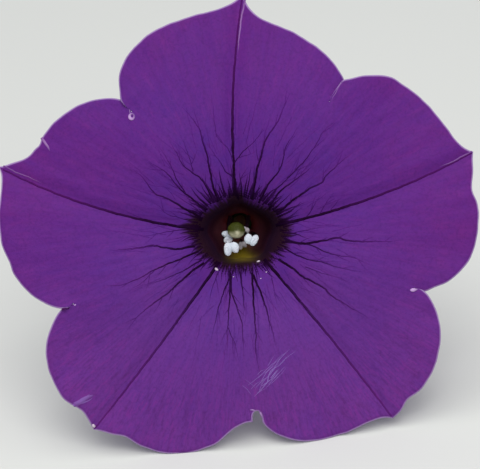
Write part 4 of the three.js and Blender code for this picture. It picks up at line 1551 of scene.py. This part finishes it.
def calyx_middle(sector, s, v):
    """The sheet's middle surface: s from -1 to 1 across a sector, v from 0 at the stalk to 1 at
    the cup's rim and 2 at a sepal's tip."""
    centre = np.radians(NOTCHES[sector][0])
    before = turn_from(NOTCHES[sector - 1][0], NOTCHES[sector][0]) / 2
    after = turn_from(NOTCHES[sector][0], NOTCHES[(sector + 1) % len(NOTCHES)][0]) / 2
    low, t = np.clip(v, 0, 1), np.clip(v - 1, 0, 1)
    z = np.where(v < 1, blend(CUP_FLOOR - 1.4, CUP_RIM, low**1.6), blend(CUP_RIM, SEPAL_TIP, t))
    cup = CUP_RADIUS * np.sin(np.pi / 2 * np.clip(low * 1.25, 0, 1)) ** 0.8
    along = sepal_share(z)
    width = SEPAL_HALF_WIDTH * (0.62 + 0.38 * np.sin(np.pi * np.minimum(along, 1) ** 1.3))
    width = width * np.sqrt(np.clip(1 - (0.985 * along) ** 8, 0, 1))
    bend = SEPAL_SPREAD * (along**SEPAL_CURVE - sepal_share(CUP_RIM) ** SEPAL_CURVE)
    out = np.where(v < 1, cup, CUP_RADIUS + bend)
    waves = 0.12 * np.sin(9 * t + 2 * sector) * t
    arc = centre + np.radians(np.where(s < 0, before, after)) * s
    in_cup = np.stack([out * np.cos(arc), out * np.sin(arc)], -1)
    outwards = np.array([np.cos(centre), np.sin(centre)])
    across = outwards[::-1] * (-1, 1)
    hollow = (out - 0.25 * width * s**2 + waves)[..., None]
    in_sepal = hollow * outwards + (width * s + 0.3 * waves)[..., None] * across
    flat = blend(in_cup, in_sepal, soft_step(0, 0.22, t)[..., None])
    return np.stack([flat[..., 0], flat[..., 1] + sway(z), z], -1)


def calyx_sector(sector):
    """Points of both skins of a sector, its faces and its measures."""
    s = np.sin(np.linspace(-np.pi / 2, np.pi / 2, SECTOR_COLUMNS))
    cup_rows = np.linspace(0, 1, CALYX_ROWS, endpoint=False)
    v, s = np.meshgrid(np.concatenate([cup_rows, np.linspace(1, 2, SEPAL_ROWS)]), s, indexing="ij")
    step = 0.004
    middle = calyx_middle(sector, s, v)
    across = calyx_middle(sector, s + step, v) - calyx_middle(sector, s - step, v)
    up = calyx_middle(sector, s, np.where(v > 1, v + step, v)) - calyx_middle(sector, s, v - step)
    normal = unit(np.cross(across, up))
    normal[0] = (0, 0, -1)
    in_sepal = soft_step(1, 1.2, v)
    half = SEPAL_THICKNESS / 2 * blend(1, 0.35 + 0.65 * np.sqrt(1 - s**2), in_sepal)
    half = half * (1 - 0.5 * soft_step(1.8, 2, v))
    ridge = bell(s, 0.16) * soft_step(0.3, 1.2, v) * (1 - soft_step(1.85, 2, v))
    side_ridges = 0.5 * bell(np.abs(s) - 0.55, 0.1)
    side_ridges = side_ridges * soft_step(1.1, 1.3, v) * (1 - soft_step(1.6, 1.9, v))
    outer = middle + normal * (half + 0.16 * ridge + 0.05 * side_ridges)[..., None]
    inner = middle - normal * half[..., None]
    rows = len(v)
    grid = np.arange(rows * SECTOR_COLUMNS).reshape(rows, SECTOR_COLUMNS)
    faces = []
    for r in range(rows - 1):
        for c in range(SECTOR_COLUMNS - 1):
            quad = (grid[r, c], grid[r, c + 1], grid[r + 1, c + 1], grid[r + 1, c])
            faces += [quad, tuple(i + grid.size for i in quad[::-1])]
        if r >= CALYX_ROWS:
            for c in (0, SECTOR_COLUMNS - 1):
                a, b = grid[r, c], grid[r + 1, c]
                faces.append((a, b, b + grid.size, a + grid.size))
    top = grid[-1]
    for a, b in zip(top, top[1:]):
        faces.append((a, b, b + grid.size, a + grid.size))
    points = np.concatenate([outer.reshape(-1, 3), inner.reshape(-1, 3)])
    ridges = np.concatenate([(ridge + side_ridges).ravel(), np.zeros(grid.size)])
    hairy = np.concatenate([np.ones(grid.size), np.zeros(grid.size)])
    angle = np.degrees(np.arctan2(points[:, 1] - sway(points[:, 2]), points[:, 0]))
    return points, faces, {"ridge": ridges, "spoke": spokes(angle, points[:, 2]), "dust": hairy}


def welded(obj):
    """Merges doubles and turns all faces outwards."""
    bm = bmesh.new()
    bm.from_mesh(obj.data)
    bmesh.ops.remove_doubles(bm, verts=bm.verts, dist=0.002 * MM)
    bmesh.ops.dissolve_degenerate(bm, edges=bm.edges, dist=0.0001 * MM)
    bmesh.ops.recalc_face_normals(bm, faces=bm.faces)
    bm.to_mesh(obj.data)
    bm.free()
    obj.data.shade_smooth()
    return obj


def calyx():
    sectors = [calyx_sector(sector) for sector in range(len(NOTCHES))]
    faces = [tuple(i + k * len(points) for i in face)
             for k, (points, sector_faces, _) in enumerate(sectors) for face in sector_faces]
    measures = {key: np.concatenate([measures[key] for _, _, measures in sectors])
                for key in sectors[0][2]}
    points = np.concatenate([points for points, _, _ in sectors])
    return welded(make_object("calyx_leaves", points, faces, measures, SEPAL))


leaves = calyx()
report(leaves)

# %% [markdown]
# ## Stalk
#
# The stalk is a soft, slightly ribbed cord that swells to a small disc under the calyx. Its far
# end is a clean cut, which shows paler flesh.

# %% Stalk
STALK_SEAT = -33.3
STALK_END = -TUBE_LENGTH - STALK_LENGTH
# how far behind its seat the stalk has which radius
STALK_PLACES, STALK_RADII = [0, 0.6, 2.4, 4.5, 36], [1.75, 1.95, 1.2, 0.8, 0.78]
HAIR_CLEAR = 2.6  # no hairs below this height in mm, where they would reach the floor


def stalk():
    rows, count = 90, 24
    z = STALK_SEAT + (STALK_END - STALK_SEAT) * (np.arange(rows) / (rows - 1)) ** 1.25
    radius = np.interp(STALK_SEAT - z, STALK_PLACES, STALK_RADII)
    turn = 2 * np.pi * np.arange(count) / count
    depth, turn = np.meshgrid(z, turn, indexing="ij")
    ribs = 1 + 0.035 * np.cos(5 * turn + 0.02 * depth) + 0.02 * np.sin(0.9 * depth + 2 * turn)
    reach = radius[:, None] * ribs
    rings = np.stack([reach * np.cos(turn), reach * np.sin(turn) + sway(depth), depth], -1)
    poles = [[0, sway(STALK_SEAT), STALK_SEAT], [0, sway(STALK_END), STALK_END - 0.02]]
    points = np.vstack([rings.reshape(-1, 3), poles])
    size = rows * count
    faces = [*ring_faces(rows, count), *pole_faces(count, 0, size, size - count, size + 1)]
    angle = np.degrees(np.concatenate([turn.ravel(), [0, 0]]))
    cut = (points[:, 2] < STALK_END + 0.01).astype(float)
    hairy = (laid(points)[:, 2] > HAIR_CLEAR * MM) * (1 - cut)
    measures = {"spoke": spokes(angle, points[:, 2]), "ridge": cut, "dust": hairy}
    return make_object("stalk_of_bloom", points, faces, measures, STALK)


stem = welded(stalk())
report(stem)

# %% [markdown]
# ## Hairs
#
# Sepals, stalk and tube are downy with short sticky hairs that catch the light along every edge.
# Geometry Nodes stand more than a thousand thin cones on the skin, each along the skin's normal
# but for a random lean. Hair curves would be finer, but they aren't a mesh.

# %% Cones on the skin
HAIR = plain_flesh("hair_pale", hue(214, 222, 190), hue(190, 200, 160))


def hair_tree(name, material):
    """Stands leaning cones on a mesh."""
    tree = Tree(name, "Density", "Length", "Thickness")
    points = strewn_points(tree, 5)
    hair = tree.node("GeometryNodeMeshCone", {
        "Vertices": 5, "Side Segments": 2, "Radius Top": 0.01 * MM,
        "Radius Bottom": tree.start["Thickness"], "Depth": tree.start["Length"],
    })
    lean = tree.node("FunctionNodeRandomValue", {0: (-0.45,) * 3, 1: (0.45,) * 3},
                     data_type="FLOAT_VECTOR")
    lean = tree.node("FunctionNodeEulerToRotation", {0: lean})
    leant = tree.node("FunctionNodeRotateRotation", {0: points.outputs["Rotation"], 1: lean},
                      rotation_space="LOCAL")
    size = tree.node("FunctionNodeRandomValue", {2: 0.5, 3: 1.2})
    placed = tree.node("GeometryNodeInstanceOnPoints", {
        "Points": points, "Instance": hair, "Rotation": leant, "Scale": size.outputs[1],
    })
    return tree.end(placed, material)


hairs_on_skin = hair_tree("hairs_on_skin", HAIR)
# hairs to the square metre, their length and thickness in mm
HAIRY = [("calyx_hairs", leaves, 1.6e6, 0.6, 0.03), ("stalk_hairs", stem, 1.8e6, 0.55, 0.03),
         ("tube_hairs", petals, 0.7e6, 0.5, 0.025)]
hairs = joined("hairs", [
    with_tree(name, piece.data, hairs_on_skin, Density=density, Length=length * MM,
              Thickness=thickness * MM)
    for name, piece, density, length, thickness in HAIRY
])
report(hairs)

# %% [markdown]
# ## Beads and specks
#
# Where two petals part, the pale flesh of the rim swells to a bead or a little ring, or stands up
# as a torn edge. A few grains of pollen have dropped on the face. All of these are a pixel or two
# wide in the picture, and still they are what makes this bloom and not another.

# %% Pale flesh of the rim
RIM_PINK = hue(196, 158, 210)


def rim_flesh_material():
    """Petal flesh that pales where the measure pale is high."""
    shader = Shader("rim_flesh", Specular_IOR_Level=0.2)
    place = shader.place()
    clouds = shader.noise(place, 900, 2)
    mask = (shader.measure("pale") * (0.75 + 0.5 * clouds)).clipped()
    return shader.finish(shader.mix(mask, VIOLET, RIM_PINK), 0.5 + clouds * 0.2,
                         shader.noise(place, 2600, 2), depth=0.03)


RIM_FLESH = rim_flesh_material()
bead_tree = sweep_tree("bead_sweep", 10, 0.75, RIM_FLESH)
# stops of (distance, angle, radius of the cord, paleness)
BEADS = [
    # the bead in the notch of the lower right and the right lobe
    [(26.15, 341.1, 0.08, 0.5), (26.4, 341.3, 0.25, 0.85), (26.75, 341.6, 0.24, 0.75),
     (27.2, 341.8, 0.07, 0.3)],
    # the stem of the ring in the notch of the top and the left lobe
    [(25.4, 131.8, 0.03, 0.1), (24.6, 132.1, 0.05, 0.15), (23.5, 132.8, 0.08, 0.3)],
    # the speck in the notch of the left and the lower left lobe
    [(26.1, 203.8, 0.05, 0.6), (26.25, 203.9, 0.1, 0.9), (26.4, 203.9, 0.05, 0.6)],
    # the torn edge of the lowest notch
    [(25.95, 273.2, 0.06, 0.2), (25.95, 274.0, 0.1, 0.5), (26.1, 274.9, 0.07, 0.4)],
    [(26.3, 276.0, 0.06, 0.3), (26.6, 276.5, 0.12, 0.6), (27.2, 276.7, 0.06, 0.3)],
]
RING = {"place": (22.99, 133.1), "radius": 0.36, "cord": 0.17}


def bead_route(stops):
    """A cord that lies on the face."""
    reach, angle, radius, pale = np.array(stops, float).T
    stops = np.column_stack([flat_point(reach, angle), 0 * reach, radius, pale])
    path = smooth_path(stops, 0.12)
    points, normal, _, _ = on_face(path[:, :2])
    return {"points": points, "width": path[:, 3] * MM, "up": laid_direction(normal),
            "pale": path[:, 4]}


def ring_route(place, radius, cord):
    """A ring on the face: a cord whose ends meet, thick and pale at its lower left."""
    turn = np.linspace(0, 360, 33)
    flat = flat_point(*place) + radius * flat_point(1, turn) * (0.9, 1.05)
    points, normal, _, _ = on_face(flat)
    low_left = -np.cos(np.radians(turn - 45))
    return {"points": points, "width": cord * (1 + 0.35 * low_left) * MM,
            "up": laid_direction(normal), "pale": 0.5 + 0.3 * low_left}


bead_routes = [bead_route(stops) for stops in BEADS] + [ring_route(**RING)]
beads = with_tree("beads", routes_mesh("beads", bead_routes), bead_tree, Thickening=1.0)
report(beads)

# %% Dropped pollen
OLD_POLLEN = plain_flesh("dropped_pollen", hue(206, 190, 204), hue(170, 146, 172))
# distance, angle, length and turn of each clump, in mm and degrees
CLUMPS = [(6.6, 238.0, 0.60, -30), (5.3, 301.5, 0.56, 20), (7.1, 303.0, 0.24, 0),
          (6.7, 261.9, 0.2, 0), (7.5, 293.9, 0.2, 0), (35.6, 232.9, 0.62, -50)]


def clump(k, distance, angle, length, turn):
    """A lump of pollen on the face."""
    shape = ball(10, 14)
    bumpy = 1 + 0.14 * np.sin(5 * shape[..., 0] + k) * np.sin(6 * shape[..., 1])
    points, normal, _, _ = on_face(flat_point(distance, angle)[None])
    spin = math.radians(turn)
    side = unit(np.cross(normal[0], [-math.sin(spin), math.cos(spin), 0]))
    axes = np.array([side, np.cross(normal[0], side), normal[0]])
    size = length / 2 * np.array([1, 0.7, 0.6])
    surface = (shape * bumpy[..., None] * size) @ axes + points[0]
    poles = (np.array([[0, 1, 0], [0, -1, 0]]) * size) @ axes + points[0]
    return closed_ball(f"clump_{k}", surface, poles, {}, OLD_POLLEN)


specks = joined("dropped_pollen", [clump(k, *one) for k, one in enumerate(CLUMPS)])
report(specks)

# %% [markdown]
# ## Handing the pieces over
#
# Each piece rides on the part's one body, and the plain solid that it stands for is hidden.
# Veins, beads, specks and hairs come on top of the solids, and stand for none.

# %% Pieces and their solids
for piece, node, slot in [
    (petals, "corolla", "petal"), (leaves, "calyx", "sepal"), (stem, "stalk", "stalk"),
    (pistil, "pistil", "pistil"),
    *[(stamen, f"stamen_{k}", "stamen") for k, stamen in enumerate(stamens, 1)],
]:
    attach(piece, "root")
    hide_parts(node)
for piece, slot in [(veins, "petal"), (beads, "petal"), (specks, "stamen"), (hairs, "sepal")]:
    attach(piece, "root")

# %% [markdown]
# ## Floor, light and camera
#
# The bloom lies on a pale matt floor under a wide soft light from above, as under a thin cloud.
# The camera looks straight into the face, from the height that the face looks up to.

# %% Floor
def floor():
    bpy.ops.mesh.primitive_plane_add(size=6.0)
    plane = bpy.context.object
    plane.name = "floor"
    shader = Shader("floor_paper", Specular_IOR_Level=0.1)
    clouds = shader.noise(shader.place(), 3, 2)
    tone = shader.mix(clouds, hue(206, 207, 203), hue(212, 213, 210))
    plane.data.materials.append(shader.finish(tone, 0.85 + clouds * 0.05))


floor()


# %% Light and camera
def soft_box(name, place, target, size, power, colour):
    light = bpy.data.lights.new(name, "AREA")
    light.shape = "DISK"
    light.size, light.energy, light.color = size, power, colour
    lamp = as_object(name, light)
    lamp.location = place
    lamp.rotation_euler = (Vector(target) - Vector(place)).to_track_quat("-Z", "Y").to_euler()


soft_box("sky", (-0.15, -0.2, 1.1), (0, 0, 0), 1.3, 8.35, (1.0, 0.99, 0.97))
soft_box("window", (0.2, -0.85, 0.85), (0, 0, 0.03), 0.9, 7.35, (1.0, 0.99, 0.98))

bpy.context.scene.view_settings.view_transform = "Standard"
world = bpy.data.worlds.new("room")
world.use_nodes = True
room_light = world.node_tree.nodes["Background"].inputs
room_light["Color"].default_value = (0.9, 0.94, 1.0, 1)
room_light["Strength"].default_value = 0.45
bpy.context.scene.world = world

# the camera's distance from the face, the width that it takes in there, and how far below the
# throat's middle it looks, all in mm
CAMERA_DISTANCE = 350.0
VIEW_WIDTH = 69.85
VIEW_DROP = 0.37
SENSOR = 36.0

lens = bpy.data.cameras.new("camera")
lens.sensor_width, lens.lens = SENSOR, SENSOR * CAMERA_DISTANCE / VIEW_WIDTH
lens.clip_start = 0.01
camera = as_object("camera", lens)
camera.matrix_world = bloom_turn.to_4x4()
camera.location = laid(np.array([0, -VIEW_DROP, CAMERA_DISTANCE]))
bpy.context.scene.camera = camera
